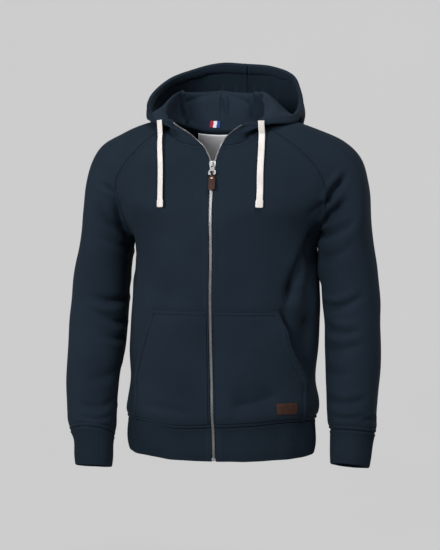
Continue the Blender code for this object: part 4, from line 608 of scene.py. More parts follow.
fold("front_right", [(1.06, 0.985), (0.93, 0.86), (0.80, 0.76), (0.66, 0.70)], 0.0160, -0.0042, 0.0000, (0.15, 0.4))
fold("front_right", [(1.32, 0.97), (1.27, 0.88), (1.25, 0.78)], 0.0090, -0.0022, 0.0000, (0.05, 0.5))
fold("front_right", [(0.08, 0.08), (0.11, 0.30), (0.10, 0.55)], 0.0110, -0.0014, 0.0006, (0.3, 0.3))
fold("front_right", [(0.30, 0.80), (0.16, 0.84), (0.05, 0.80)], 0.0120, -0.0024, 0.0000, (0.3, 0.3))
# back: pulls from the armholes, the hollow between the shoulders and the slack above the hem
fold("back", [(1.12, 0.985), (0.97, 0.86), (0.80, 0.76), (0.62, 0.72)], 0.0150, -0.0060, 0.0016, (0.12, 0.4))
fold("back", [(1.10, -0.985), (0.99, -0.88), (0.84, -0.80), (0.70, -0.78)], 0.0140, -0.0052, -0.0016, (0.12, 0.4))
fold("back", [(1.30, 0.98), (1.24, 0.84), (1.15, 0.66)], 0.0120, -0.0034, 0.0014, (0.1, 0.5))
fold("back", [(1.33, -0.98), (1.25, -0.80), (1.19, -0.62)], 0.0120, -0.0030, -0.0014, (0.1, 0.5))
fold("back", [(0.34, -0.62), (0.29, -0.25), (0.31, 0.12), (0.26, 0.48)], 0.0170, -0.0032, 0.0014, (0.3, 0.3))
fold("back", [(0.20, -0.40), (0.16, -0.05), (0.18, 0.30), (0.15, 0.66)], 0.0130, -0.0028, 0.0012, (0.3, 0.3))
fold("back", [(0.09, -0.74), (0.07, -0.40), (0.09, -0.10)], 0.0090, -0.0018, 0.0009, (0.3, 0.3))
fold("back", [(0.08, 0.10), (0.06, 0.42), (0.08, 0.72)], 0.0090, -0.0016, 0.0009, (0.3, 0.3))
fold("back", [(0.52, 0.85), (0.44, 0.55), (0.46, 0.22)], 0.0160, -0.0026, 0.0010, (0.2, 0.4))
fold("back", [(0.56, -0.88), (0.49, -0.60), (0.50, -0.30)], 0.0160, -0.0024, -0.0010, (0.2, 0.4))
fold("back", [(1.62, 0.30), (1.50, 0.12), (1.48, -0.12), (1.58, -0.34)], 0.0150, -0.0022, 0.0008, (0.3, 0.3))
# hood: the stand round the neck, the facets at its sides, the folds of the wall behind and of the outside
fold("hood_right", [(0.115, 0.335), (0.155, 0.23), (0.185, 0.12), (0.200, 0.00)], 0.0050, 0.0026, 0.0000, (0.15, 0.01))
fold("hood_left", [(0.200, 0.00), (0.175, 0.08), (0.145, 0.17), (0.115, 0.26)], 0.0050, 0.0026, 0.0000, (0.01, 0.2))
fold("hood_right", [(0.225, 0.39), (0.15, 0.345), (0.07, 0.295), (0.015, 0.28)], 0.0070, -0.0050, 0.0022, (0.1, 0.2))
fold("hood_left", [(0.225, 0.33), (0.14, 0.265), (0.05, 0.225)], 0.0070, -0.0048, -0.0022, (0.1, 0.3))
fold("hood_left", [(0.05, 0.62), (0.12, 0.54), (0.19, 0.47)], 0.0080, -0.0040, 0.0014, (0.2, 0.3))
fold("hood_left", [(0.185, 0.030), (0.13, 0.035), (0.06, 0.030)], 0.0055, -0.0034, 0.0024, (0.15, 0.4))
fold("hood_right", [(0.05, 0.84), (0.10, 0.72), (0.17, 0.64)], 0.0080, -0.0034, 0.0012, (0.2, 0.3))
fold("hood_left", [(0.04, 0.86), (0.10, 0.76), (0.18, 0.70)], 0.0070, -0.0030, 0.0012, (0.2, 0.3))
fold("hood_left", [(0.92, 0.045), (0.86, 0.05), (0.78, 0.07)], 0.0055, -0.0022, 0.0012, (0.1, 0.5))
fold("hood_left", [(0.92, 0.10), (0.87, 0.115), (0.80, 0.13)], 0.0060, -0.0020, 0.0010, (0.1, 0.5))
fold("hood_left", [(0.92, 0.19), (0.85, 0.20), (0.75, 0.215)], 0.0070, -0.0018, 0.0010, (0.1, 0.5))
fold("hood_right", [(0.92, 0.06), (0.86, 0.07), (0.77, 0.08)], 0.0060, -0.0020, 0.0010, (0.1, 0.5))
fold("hood_right", [(0.92, 0.14), (0.87, 0.15), (0.80, 0.165)], 0.0060, -0.0016, 0.0008, (0.1, 0.5))
fold("hood_right", [(0.90, 0.28), (0.80, 0.30), (0.68, 0.29)], 0.0090, -0.0022, 0.0010, (0.2, 0.5))
fold("hood_left", [(0.46, 0.14), (0.58, 0.18), (0.72, 0.19), (0.86, 0.26)], 0.0110, -0.0034, 0.0016, (0.2, 0.4))
fold("hood_left", [(0.50, 0.34), (0.62, 0.36), (0.76, 0.42)], 0.0110, -0.0030, 0.0014, (0.2, 0.4))
fold("hood_left", [(0.48, 0.52), (0.60, 0.50), (0.74, 0.55)], 0.0090, -0.0026, 0.0012, (0.2, 0.4))
fold("hood_right", [(0.44, 0.10), (0.56, 0.12), (0.70, 0.10), (0.84, 0.15)], 0.0100, -0.0032, 0.0014, (0.2, 0.4))
fold("hood_right", [(0.50, 0.28), (0.60, 0.32), (0.74, 0.30), (0.84, 0.34)], 0.0110, -0.0034, 0.0016, (0.2, 0.4))
fold("hood_right", [(0.50, 0.47), (0.62, 0.45), (0.75, 0.50)], 0.0095, -0.0026, 0.0012, (0.2, 0.4))

WAVES = np.random.default_rng(7)
WAVE_DIR = WAVES.normal(size=(18, 3))
WAVE_DIR /= np.linalg.norm(WAVE_DIR, axis=1, keepdims=True)
WAVE_LONG, WAVE_AT = WAVES.uniform(0.055, 0.16, 18), WAVES.uniform(0, 2 * pi, 18)


def waviness(p):
    """Slow unevenness of hanging cloth, about a millimetre."""
    total = np.zeros(p.shape[:-1])
    for d, length, at0 in zip(WAVE_DIR, WAVE_LONG, WAVE_AT):
        total += (length / 0.16) * np.sin(p @ d * (2 * pi / length) + at0)
    return total * 0.00042


def fold_line(c, line, count=26):
    pts = np.array(line, float)
    t = np.linspace(0, 1, len(pts))
    s = np.linspace(0, 1, count)
    r = curve(t, pts[:, 0], s) if len(pts) > 2 else np.interp(s, t, pts[:, 0])
    k = curve(t, pts[:, 1], s) if len(pts) > 2 else np.interp(s, t, pts[:, 1])
    r, k = np.clip(r, c.r[0], c.r[-1]), np.clip(k, c.c[0], c.c[-1])
    n = c.read(c.n, r, k)
    return c.read(c.p0, r, k), n / np.linalg.norm(n, axis=-1, keepdims=True)


def fold_moves():
    """How far every grid point moves along its normal, folds and waviness together."""
    moves = {c.name: waviness(c.p0) for c in BODY}
    for c in BODY:
        x, y, z = c.p0[..., 0], c.p0[..., 1], c.p0[..., 2]
        calm = np.ones_like(x)
        if not c.name.startswith("hood"):
            low = c.rr
            calm = calm * smooth((low - 0.01) / 0.10)
        front = (y < -0.05) & (z < -0.01) & (np.abs(x) < 0.09)
        calm = calm * np.where(front, 0.25 + 0.75 * smooth((np.abs(x - 0.0) - 0.012) / 0.05), 1.0)
        moves[c.name] *= calm
    for piece, line, width, depth, lip, ends, skew in FOLDS:
        more = 1.9 if piece.startswith("sleeve") else 1.55
        width, depth, lip = 0.90 * width, more * depth, more * lip
        lp, ln = fold_line(cloth[piece], line)
        seg = lp[1:] - lp[:-1]
        seg2 = np.maximum((seg * seg).sum(1), 1e-14)
        lo, hi = lp.min(0) - 3.2 * width * skew, lp.max(0) + 3.2 * width * skew
        for c in BODY:
            if piece.startswith("hood") != c.name.startswith("hood"):
                continue
            inside = np.all((c.p0 > lo) & (c.p0 < hi), axis=-1)
            if not inside.any():
                continue
            q, qn = c.p0[inside], c.n[inside]
            d = q[:, None, :] - lp[None, :-1]
            t = np.clip((d * seg).sum(-1) / seg2, 0, 1)
            off = d - t[..., None] * seg
            dist = np.linalg.norm(off, axis=-1)
            k = dist.argmin(1)
            rows = np.arange(len(q))
            u, along = dist[rows, k] / width, (k + t[rows, k]) / len(seg)
            line_n = ln[k]
            turn = np.einsum("ij,ij->i", np.cross(seg[k], off[rows, k]), line_n)
            u = np.where(turn > 0, u / skew, u)
            facing = smooth((np.einsum("ij,ij->i", qn, line_n) - 0.25) / 0.4)
            fade = smooth(along / max(ends[0], 1e-3)) * smooth((1 - along) / max(ends[1], 1e-3))
            fade = fade * (1 + 0.16 * np.sin(9 * along + 40 * width + 3 * depth * 1000))
            same = np.where(turn > 0, 1.0, -1.0) == (1.0 if lip > 0 else -1.0)
            step = depth * np.exp(-1.25 * u ** 1.45) + np.where(same, abs(lip), 0.25 * abs(lip)) * np.exp(-((u - 1.75) / 0.85) ** 2)
            moves[c.name][inside] += step * fade * facing
    return moves


moves = fold_moves()
for c in BODY:
    c.p = c.p0 + c.n * moves[c.name][..., None]
shared_normals(BODY)


# ---------------------------------------------------------------- seams, edges and walls
def groove(d, at0, width, depth):
    return -depth * np.exp(-((d - at0) / width) ** 2)


def band(d, a, b, height, soft=0.0012):
    return height * (smooth((d - a) / soft + 0.5) - smooth((d - b) / soft + 0.5))


def sewn(d, uneven, stitched=(0.0018, 0.0082)):
    """Height of the cloth beside a seam with two rows of stitches on this side."""
    out = groove(d, 0.0, 0.0018, 0.0012) + band(d, 0.0014, stitched[-1] + 0.0012, 0.0010, 0.0016)
    for k, at0 in enumerate(stitched):
        out = out + groove(d, at0, 0.0010, 0.0010 + 0.00018 * uneven)
    return out + 0.00034 * uneven * np.exp(-((d - 0.005) / 0.003) ** 2)


def plain_side(d):
    return groove(d, 0.0, 0.0018, 0.0011) + 0.0005 * np.exp(-((d - 0.0035) / 0.002) ** 2)


def pucker(s, seed):
    """Unevenness along a seam, from -1 to 1, where the stitches draw the cloth in."""
    r = np.random.default_rng(seed)
    total = np.zeros_like(s)
    for length in r.uniform(0.007, 0.026, 7):
        total += np.sin(2 * pi * s / length + r.uniform(0, 6.28))
    return np.clip(total / 3.2, -1, 1)


def wall_arrays(c, thick, out, inn, draw=-0.0003, bulge=0.30):
    """Vertices and faces of a closed wall about a grid, with rounded edges."""
    rows, cols = c.p.shape[:2]
    idx = np.arange(rows * cols).reshape(rows, cols)
    for i in np.nonzero(c.closed)[0]:
        idx[i, -1] = idx[i, 0]
    quads = np.stack([idx[:-1, :-1], idx[:-1, 1:], idx[1:, 1:], idx[1:, :-1]], -1).reshape(-1, 4)
    if c.sign > 0:
        quads = quads[:, ::-1]
    p, n = c.p.reshape(-1, 3).copy(), c.n.reshape(-1, 3)
    size = rows * cols
    e = np.concatenate([quads[:, [k, (k + 1) % 4]] for k in range(4)])
    e = e[e[:, 0] != e[:, 1]]
    code, back_code = e[:, 0].astype(np.int64) * size + e[:, 1], e[:, 1].astype(np.int64) * size + e[:, 0]
    border = e[~np.isin(code, back_code)]
    # direction outwards from the cloth's own plane at each border point
    a, b = border[:, 0], border[:, 1]
    along = p[b] - p[a]
    side_way = np.cross(along, 0.5 * (n[a] + n[b]))
    side_way /= np.maximum(np.linalg.norm(side_way, axis=1, keepdims=True), 1e-12)
    acc = np.zeros_like(p)
    np.add.at(acc, a, side_way)
    np.add.at(acc, b, side_way)
    on = np.unique(border)
    way = acc[on] / np.maximum(np.linalg.norm(acc[on], axis=1, keepdims=True), 1e-12)
    t_out, t_in = (thick / 2 + out).reshape(-1), (thick / 2 + inn).reshape(-1)
    base = p.copy()
    base[on] = p[on] - way * (draw + bulge * thick)
    outer, inner = base + n * t_out[:, None], base - n * t_in[:, None]
    rim = p[on] - way * draw + n[on] * ((t_out[on] - t_in[on]) / 2)[:, None]
    rim_of = {int(k): 2 * size + i for i, k in enumerate(on)}
    verts = np.concatenate([outer, inner, rim])
    faces = quads.tolist() + (quads[:, ::-1] + size).tolist()
    wall_arrays.one_side = len(quads)
    faces = [f if len(set(f)) == 4 else list(dict.fromkeys(f)) for f in faces] if c.closed.any() else faces
    for i, j in border.tolist():
        ri, rj = rim_of[i], rim_of[j]
        faces.append([j, i, ri, rj])
        faces.append([rj, ri, i + size, j + size])
    return verts, faces


def put(name, verts, faces, mat, body="garment", replaces=(), smooth_shade=True):
    mesh = bpy.data.meshes.new(name)
    mesh.from_pydata(np.asarray(verts).tolist(), [], faces)
    # points that no face uses, as on the doubled column of a tube
    used = np.zeros(len(mesh.vertices), bool)
    loops = np.zeros(len(mesh.loops), np.int64)
    mesh.loops.foreach_get("vertex_index", loops)
    used[loops] = True
    if not used.all():
        bm = bmesh.new()
        bm.from_mesh(mesh)
        bm.verts.ensure_lookup_table()
        bmesh.ops.delete(bm, geom=[v for v in bm.verts if not used[v.index]], context="VERTS")
        bm.to_mesh(mesh)
        bm.free()
    mesh.update()
    if smooth_shade:
        mesh.polygons.foreach_set("use_smooth", np.ones(len(mesh.polygons), bool))
    obj = bpy.data.objects.new(name, mesh)
    bpy.context.scene.collection.objects.link(obj)
    for m in mat if isinstance(mat, (list, tuple)) else [mat]:
        obj.data.materials.append(m)
    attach(obj, body)
    if replaces:
        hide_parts(*replaces)
    return obj


STITCHES = []


def stitch_row(c, r, k, height, pitch=0.0031, long=0.0026, wide=0.00062, start=0.0, end=0.0, into=None):
    """A row of stitches along places r, k of a cloth."""
    p, n = c.on(r, k, height)
    d = np.linalg.norm(np.diff(p, axis=0), axis=1)
    s = np.concatenate([[0], np.cumsum(d)])
    count = int((s[-1] - start - end) / pitch)
    if count < 2:
        return
    mid = start + pitch * (np.arange(count) + 0.5)
    ends = [mid - long / 2, mid + long / 2]
    a, b = (np.stack([np.interp(e, s, p[:, i]) for i in range(3)], -1) for e in ends)
    nn = np.stack([np.interp(mid, s, n[:, i]) for i in range(3)], -1)
    (STITCHES if into is None else into).append((a, b, nn / np.linalg.norm(nn, axis=1, keepdims=True), wide))


def stitch_mesh(groups):
    """Low rounded stitches: two ends, and a ring of four near each end."""
    verts, faces, at0 = [], [], 0
    quad = np.array([[1, 2, 6, 5], [2, 3, 7, 6], [3, 4, 8, 7], [4, 1, 5, 8]])
    tri = np.array([[0, 2, 1], [0, 3, 2], [0, 4, 3], [0, 1, 4], [9, 5, 6], [9, 6, 7], [9, 7, 8], [9, 8, 5]])
    for a, b, n, wide in groups:
        t = b - a
        t /= np.linalg.norm(t, axis=1, keepdims=True)
        x = np.cross(t, n)
        y = np.cross(x, t)
        x /= np.linalg.norm(x, axis=1, keepdims=True)
        y /= np.linalg.norm(y, axis=1, keepdims=True)
        ring = [x * wide, y * wide * 0.8, -x * wide, -y * wide * 0.5]
        q0, q1 = a + t * 0.0006, b - t * 0.0006
        v = np.stack([a - y * wide * 0.4] + [q0 + o for o in ring] + [q1 + o for o in ring] + [b - y * wide * 0.4], 1)
        m = len(a)
        verts.append(v.reshape(-1, 3))
        base = at0 + 10 * np.arange(m)[:, None, None]
        faces += (quad[None] + base).reshape(-1, 4).tolist() + (tri[None] + base).reshape(-1, 3).tolist()
        at0 += 10 * m
    return np.concatenate(verts), faces


def line_from(c, axis_run, want, along):
    """Places at a distance from an edge: axis_run is the distance grid, along says if the line runs over rows or columns."""
    if along == "rows":
        out = []
        for i in range(len(c.r)):
            s = axis_run[i]
            out.append(np.interp(want, s, c.c) if s[0] < s[-1] else np.interp(want, s[::-1], c.c[::-1]))
        return c.r.copy(), np.array(out)
    out = []
    for j in range(len(c.c)):
        s = axis_run[:, j]
        out.append(np.interp(want, s, c.r) if s[0] < s[-1] else np.interp(want, s[::-1], c.r[::-1]))
    return np.array(out), c.c.copy()


SINK = FLEECE / 2 - 0.0001     # stitches sit in their groove on the outside
PIECES = {}

for side, who in ((1, "left"), (-1, "right")):
    # front
    c = cloth["front_" + who]
    dz, ds = c.run(1)
    d0, d2 = c.run(0)
    along, across = d0, dz
    u_side, u_hem, u_neck, u_zip = pucker(along, 11 + side), pucker(across, 13 + side), pucker(across, 15 + side), pucker(along, 17 + side)
    above = smooth((c.rr - 1.0) / 0.03)
    out = (sewn(ds, u_side) * above + plain_side(ds) * (1 - above) + sewn(d0, u_hem, (0.0016, 0.0086)) + sewn(d2, u_neck)
           + groove(d0, 0.0, 0.0026, 0.0012) + groove(d0, 0.0088, 0.0019, 0.0013) + band(d0, 0.0026, 0.0076, 0.0007, 0.002) + band(dz, -1, 0.0096, 0.0008) + groove(dz, 0.0088, 0.0010, 0.0010 + 0.0002 * u_zip))
    inn = band(ds, 0.0, 0.007, 0.0004) + band(d0, 0.0, 0.008, 0.0004)
    PIECES[c.name] = (c, FLEECE, out, inn)
    for want in (0.0018, 0.0082):
        r, k = line_from(c, ds, want, "rows")
        keep = r >= 1.0
        stitch_row(c, r[keep], k[keep], SINK, start=0.002)
        r, k = line_from(c, d2, want, "columns")
        stitch_row(c, r, k, SINK, start=0.004, end=0.004)
    for want in (0.0016, 0.0086):
        r, k = line_from(c, d0, want, "columns")
        stitch_row(c, r, k, SINK, start=0.004)
    r, k = line_from(c, dz, 0.0088, "rows")
    stitch_row(c, r, k, SINK, start=0.004)
    # sleeve
    c = cloth["sleeve_" + who]
    df, db = c.run(1)
    d0, d2 = c.run(0)
    above = smooth((c.rr - 1.0) / 0.03)
    out = (plain_side(df) * 1.0 + plain_side(db) * 1.0 + sewn(d0, pucker(df, 21 + side), (0.0016, 0.0080)) + groove(d0, 0.0, 0.0024, 0.0010) + groove(d0, 0.0082, 0.0017, 0.0011)
           + sewn(d2, pucker(df, 23 + side)))
    inn = band(df, 0.0, 0.007, 0.0004) + band(db, 0.0, 0.007, 0.0004) + band(d0, 0.0, 0.008, 0.0004)
    PIECES[c.name] = (c, FLEECE, out, inn)
    for want in (0.0018, 0.0082):
        r, k = line_from(c, d2, want, "columns")
        stitch_row(c, r, k, SINK, start=0.002, end=0.002)
    for want in (0.0016, 0.0080):
        r, k = line_from(c, d0, want, "columns")
        stitch_row(c, r, k, SINK)
    # hood
    c = cloth["hood_" + who]
    dc, dz = c.run(1)
    d0, dr = c.run(0)
    u_c, u_r = pucker(d0, 31 + side), pucker(dc, 33 + side)
    seam = sewn(dc, u_c, (0.0030,))
    casing = band(dr, -1, 0.0205, 0.0012, 0.0016) + groove(dr, 0.0196, 0.0012, 0.0012 + 0.0002 * u_r)
    casing_in = band(dr, -1, 0.0205, 0.0042, 0.0012) + groove(dr, 0.0228, 0.0020, 0.0012) + groove(dr, 0.0178, 0.0010, 0.0012 + 0.0002 * u_r)
    edge = band(dz, -1, 0.0096, 0.00035) + groove(dz, 0.0088, 0.0009, 0.0005)
    tunnel = 0.0007 * np.exp(-((dr - 0.0105) / 0.0055) ** 2)
    inset = smooth((dr - 0.020) / 0.01)
    # the outside, which faces away from the neck, and the inside, which shows in the opening
    out = seam + casing + edge + tunnel + 0.0003 * u_r * np.exp(-((dr - 0.016) / 0.006) ** 2)
    inn = (groove(dc, 0, 0.0014, 0.0012) + band(dc, 0.0010, 0.0092, 0.0012, 0.0016) + groove(dc, 0.0030, 0.0009, 0.0008) + groove(dc, 0.0078, 0.0011, 0.0012) + casing_in + tunnel
           + 0.0003 * u_r * np.exp(-((dr - 0.016) / 0.006) ** 2) + band(dz, -1, 0.0096, 0.0002) + groove(d0, 0, 0.0015, 0.0009)
           + band(d0, 0.0010, 0.0110, 0.0007) + groove(d0, 0.0104, 0.0009, 0.0006))
    PIECES[c.name] = (c, FLEECE, out, inn)
    r, k = line_from(c, dr, 0.0196, "columns")
    stitch_row(c, r, k, FLEECE / 2 + 0.0001, start=0.003, end=0.003)
    r, k = line_from(c, dr, 0.0178, "columns")
    stitch_row(c, r, k, -(FLEECE / 2 + 0.0018), start=0.003, end=0.003)
    r, k = line_from(c, dc, 0.0030, "rows")
    stitch_row(c, r, k, SINK, start=0.003, end=0.002)
    stitch_row(c, r, k, -SINK - 0.0002, start=0.003, end=0.002)
    r, k = line_from(c, d0, 0.0104, "columns")
    stitch_row(c, r, k, -SINK - 0.0002, start=0.003, end=0.003)
    r, k = line_from(c, dz, 0.0088, "rows")
    stitch_row(c, r, k, SINK, start=0.003, end=0.003)
# back
c = cloth["back"]
dl, dr = c.run(1)
d0, d2 = c.run(0)
above = smooth((c.rr - 1.0) / 0.03)
out = np.zeros_like(dl)
for d, seed in ((dl, 41), (dr, 42)):
    out = out + sewn(d, pucker(d0, seed)) * above + plain_side(d) * (1 - above)
out = out + sewn(d0, pucker(dl, 43), (0.0016, 0.0086)) + groove(d0, 0.0, 0.0026, 0.0012) + groove(d0, 0.0088, 0.0019, 0.0013) + band(d0, 0.0026, 0.0076, 0.0007, 0.002) + sewn(d2, pucker(dl, 44))
inn = band(dl, 0.0, 0.007, 0.0004) + band(dr, 0.0, 0.007, 0.0004) + band(d0, 0.0, 0.008, 0.0004)
PIECES["back"] = (c, FLEECE, out, inn)
for want in (0.0018, 0.0082):
    for d in (dl, dr):
        r, k = line_from(c, d, want, "rows")
        keep = r >= 1.0
        stitch_row(c, r[keep], k[keep], SINK, start=0.002)
    r, k = line_from(c, d2, want, "columns")
    stitch_row(c, r, k, SINK, start=0.002, end=0.002)
for want in (0.0016, 0.0086):
    r, k = line_from(c, d0, want, "columns")
    stitch_row(c, r, k, SINK, start=0.002, end=0.002)


# ---------------------------------------------------------------- ribs
def even_columns(fn, t0, t1, pitch, per, row=0.5):
    """Column values spaced evenly along the piece, with the distance at each."""
    t = np.linspace(t0, t1, 1200)
    p = fn(np.full_like(t, row), t)
    s = np.concatenate([[0], np.cumsum(np.linalg.norm(np.diff(p, axis=0), axis=1))])
    ribs = int(round(s[-1] / pitch))
    want = np.linspace(0, s[-1], ribs * per + 1)
    return np.interp(want, s, t), want, s[-1] / ribs


def hem_fn(r, t):
    part = np.clip(np.floor(t), 0, 3).astype(int)
    f = t - part
    parts = [rib(r, f, -1, 1), rib(r, 1 - f, -1, -1), rib(r, f, 1, -1), rib(r, 1 - f, 1, 1)]
    out = parts[0]
    for i in (1, 2, 3):
        out = np.where((part == i)[..., None], parts[i], out)
    return out


RIB_ROWS = np.array([0, .02, .045, .08, .12, .20, .32, .45, .58, .70, .80, .88, .93, .96, .985, 1.0])
PER, RIB_PITCH = ((4, 0.0030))
t_cols, t_run, pitch = even_columns(hem_fn, 0.0, 4.0, RIB_PITCH, PER)
c = Cloth("hem_rib", hem_fn, RIB_ROWS, t_cols, from_axis())
wave_low = 0.0007 * np.sin(2 * pi * t_run / 0.083 + 1.0) + 0.0004 * np.sin(2 * pi * t_run / 0.047 + 2.3)
shared_normals([c])
ends = np.minimum(t_run, t_run[-1] - t_run)
calm = smooth(ends / 0.03)
c.p = c.p0 + c.n * (wave_low * calm * smooth(c.rr[:, :1] / 0.35))[..., None]
shared_normals([c])
d0, d1 = c.run(0)
flat_end = smooth((ends - 0.0105) / 0.002)
ribs = 0.00052 * np.cos(2 * pi * t_run / pitch) * flat_end
out = ribs[None, :] * smooth((d0 - 0.0015) / 0.003) * smooth((d1 - 0.0003) / 0.0015) + plain_side(d0) + 0.0006 * np.exp(-((d0 - 0.004) / 0.003) ** 2)
out = out - 0.0005 * np.exp(-(d1 / 0.0012) ** 2) + groove(ends[None, :] + 0 * d0, 0.0088, 0.0009, 0.0006)
inn = ribs[None, :] * 0.6 - 0.0005 * np.exp(-(d1 / 0.0012) ** 2)
PIECES["hem_rib"] = (c, RIBBING, out, inn)
HEM = c
for col in (np.interp(0.0088, t_run, t_cols), np.interp(t_run[-1] - 0.0088, t_run, t_cols)):
    r = np.linspace(0.02, 0.99, 40)
    stitch_row(c, r, np.full_like(r, col), RIBBING / 2 - 0.0002)

for side, who in ((1, "left"), (-1, "right")):
    fn = lambda l, w, s=side: cuff(l, w, s)
    w_cols, w_run, pitch = even_columns(fn, 0.0, 1.0, RIB_PITCH * 0.93, PER)
    c = Cloth("cuff_" + who, fn, RIB_ROWS, w_cols, from_axis(side * 0.27, -0.06), closed=np.ones(len(RIB_ROWS), bool))
    shared_normals([c])
    c.n[:, -1] = c.n[:, 0] = (lambda q: q / np.linalg.norm(q, axis=-1, keepdims=True))(c.n[:, 0] + c.n[:, -1])
    full = w_run[-1]
    wave_low = 0.0007 * np.sin(2 * pi * w_run * 4 / full + side) + 0.0005 * np.sin(2 * pi * w_run * 7 / full + 2 * side)
    c.p = c.p0 + c.n * (wave_low * smooth(c.rr[:, :1] / 0.35))[..., None]
    shared_normals([c])
    c.n[:, -1] = c.n[:, 0] = (lambda q: q / np.linalg.norm(q, axis=-1, keepdims=True))(c.n[:, 0] + c.n[:, -1])
    d0, d1 = c.run(0)
    ribs = 0.00050 * np.cos(2 * pi * w_run / pitch)
    out = ribs[None, :] * smooth((d0 - 0.0015) / 0.003) * smooth((d1 - 0.0003) / 0.0015) + plain_side(d0) + 0.0005 * np.exp(-((d0 - 0.004) / 0.003) ** 2)
    out = out - 0.0005 * np.exp(-(d1 / 0.0012) ** 2)
    inn = ribs[None, :] * 0.6 - 0.0005 * np.exp(-(d1 / 0.0012) ** 2)
    PIECES[c.name] = (c, RIBBING, out, inn)

# ---------------------------------------------------------------- pockets
for side, who in ((1, "left"), (-1, "right")):
    base = cloth["front_" + who]
    v_rows = 0.006 + (0.62 - 0.006) * spread(0.225, 1.0, step=0.0032)
    f_cols = spread(0.13, 1.0, step=0.0032)
    V, F = np.meshgrid(v_rows, f_cols, indexing="ij")
    outer = curve(POCKET["v"], POCKET[who], V)
    W = 0.012 + (outer - 0.012) * F
    i01 = (V - 0.006) / (0.62 - 0.006)
    flat, nn = base.on(V, W, POCKET_LIFT)
    run_w = np.concatenate([np.zeros((len(v_rows), 1)), np.cumsum(np.linalg.norm(np.diff(flat, axis=1), axis=-1), axis=1)], 1)
    d_open, d_zip = run_w[:, -1:] - run_w, run_w
    run_v = np.concatenate([np.zeros((1, len(f_cols))), np.cumsum(np.linalg.norm(np.diff(flat, axis=0), axis=-1), axis=0)], 0)
    d_top, d_low = run_v[-1:] - run_v, run_v
    swell = 0.0030 * np.sin(pi * np.clip(i01, 0, 1)) * np.minimum(1, 2.2 * F)
    gape = (0.0095 if side > 0 else 0.0030) * np.exp(-(d_open / 0.026) ** 1.6) * smooth((V - 0.15) / 0.10) * smooth((0.60 - V) / 0.12)
    drop = -0.0012 * np.exp(-(d_top / 0.010) ** 2) - 0.0014 * np.exp(-(d_low / 0.012) ** 2) - 0.0006 * np.exp(-(d_zip / 0.010) ** 2)
    ripple = 0.0004 * pucker(run_v, 51 + side) * np.exp(-(d_open / 0.012) ** 2)
    c = Cloth("pocket_" + who, lambda a, b, q=flat: q, v_rows, f_cols, from_axis())
    c.p0 = flat
    sunk = np.minimum(base.read(moves[base.name], V, W), 0)
    over = -0.8 * sunk * np.exp(-(d_open / 0.035) ** 2)
    c.p = flat + nn * (swell + gape + drop + ripple + over)[..., None]
    shared_normals([c])
    u1, u2 = pucker(run_v, 53 + side), pucker(run_w, 55 + side)
    turned = band(d_open, -1, 0.0100, 0.0013) + groove(d_open, 0.0022, 0.0009, 0.0009 + 0.0002 * u1) + groove(d_open, 0.0088, 0.0016, 0.0017 + 0.0002 * u1) - 0.0008 * np.exp(-((d_open - 0.0110) / 0.002) ** 2)
    top = band(d_top, -1, 0.0094, 0.0012) + groove(d_top, 0.0020, 0.0009, 0.0009 + 0.0002 * u2) + groove(d_top, 0.0086, 0.0016, 0.0016 + 0.0002 * u2)
    low = groove(d_low, 0.0062, 0.0019, 0.0017) + 0.0007 * np.exp(-((d_low - 0.0098) / 0.0022) ** 2)
    out = np.where(d_open < d_top, turned + top * smooth((d_open - 0.002) / 0.01), top + turned * smooth((d_top - 0.002) / 0.01)) + low
    inn = np.zeros_like(out)
    PIECES[c.name] = (c, FLEECE, out, inn)
    for want in (0.0022, 0.0086):
        r, k = line_from(c, d_open, want, "rows")
        stitch_row(c, r, k, FLEECE / 2 + 0.0001, start=0.004, end=0.003)
    for want in (0.0020, 0.0084):
        r, k = line_from(c, d_top, want, "columns")
        stitch_row(c, r, k, FLEECE / 2 + 0.0001, start=0.003, end=0.003)

# ---------------------------------------------------------------- finishes
def nodes_of(name):
    mat = bpy.data.materials.new(name)
    mat.use_nodes = True
    t = mat.node_tree
    return mat, t, t.nodes["Principled BSDF"]


def node(t, kind, **values):
    n = t.nodes.new(kind)
    for k, v in values.items():
        if k in n.inputs:
            n.inputs[k].default_value = v
        else:
            setattr(n, k, v)
    return n


def mapped(t, scale=(1, 1, 1), turn=(0, 0, 0)):
    co = node(t, "ShaderNodeTexCoord")
    m = node(t, "ShaderNodeMapping")
    m.inputs["Scale"].default_value = scale
    m.inputs["Rotation"].default_value = turn
    t.links.new(co.outputs["Object"], m.inputs["Vector"])
    return m.outputs["Vector"]


def noise(t, vector, scale, detail=2.0, rough=0.5):
    n = node(t, "ShaderNodeTexNoise")
    n.inputs["Scale"].default_value = scale
    n.inputs["Detail"].default_value = detail
    n.inputs["Roughness"].default_value = rough
    t.links.new(vector, n.inputs["Vector"])
    return n.outputs["Fac"]


def ramp(t, fac, stops):
    r = node(t, "ShaderNodeValToRGB")
    while len(r.color_ramp.elements) < len(stops):
        r.color_ramp.elements.new(0.5)
    for e, (at0, col) in zip(r.color_ramp.elements, stops):
        e.position, e.color = at0, (*col, 1)
    t.links.new(fac, r.inputs["Fac"])
    return r.outputs["Color"]


def math_node(t, op, a, b):
    m = node(t, "ShaderNodeMath", operation=op)
    for i, v in enumerate((a, b)):
        if isinstance(v, (int, float)):
            m.inputs[i].default_value = v
        else:
            t.links.new(v, m.inputs[i])
    return m.outputs[0]


def bump(t, bsdf, height, distance, strength):
    b = node(t, "ShaderNodeBump")
    b.inputs["Distance"].default_value = distance
    b.inputs["Strength"].default_value = strength
    t.links.new(height, b.inputs["Height"])
    t.links.new(b.outputs["Normal"], bsdf.inputs["Normal"])


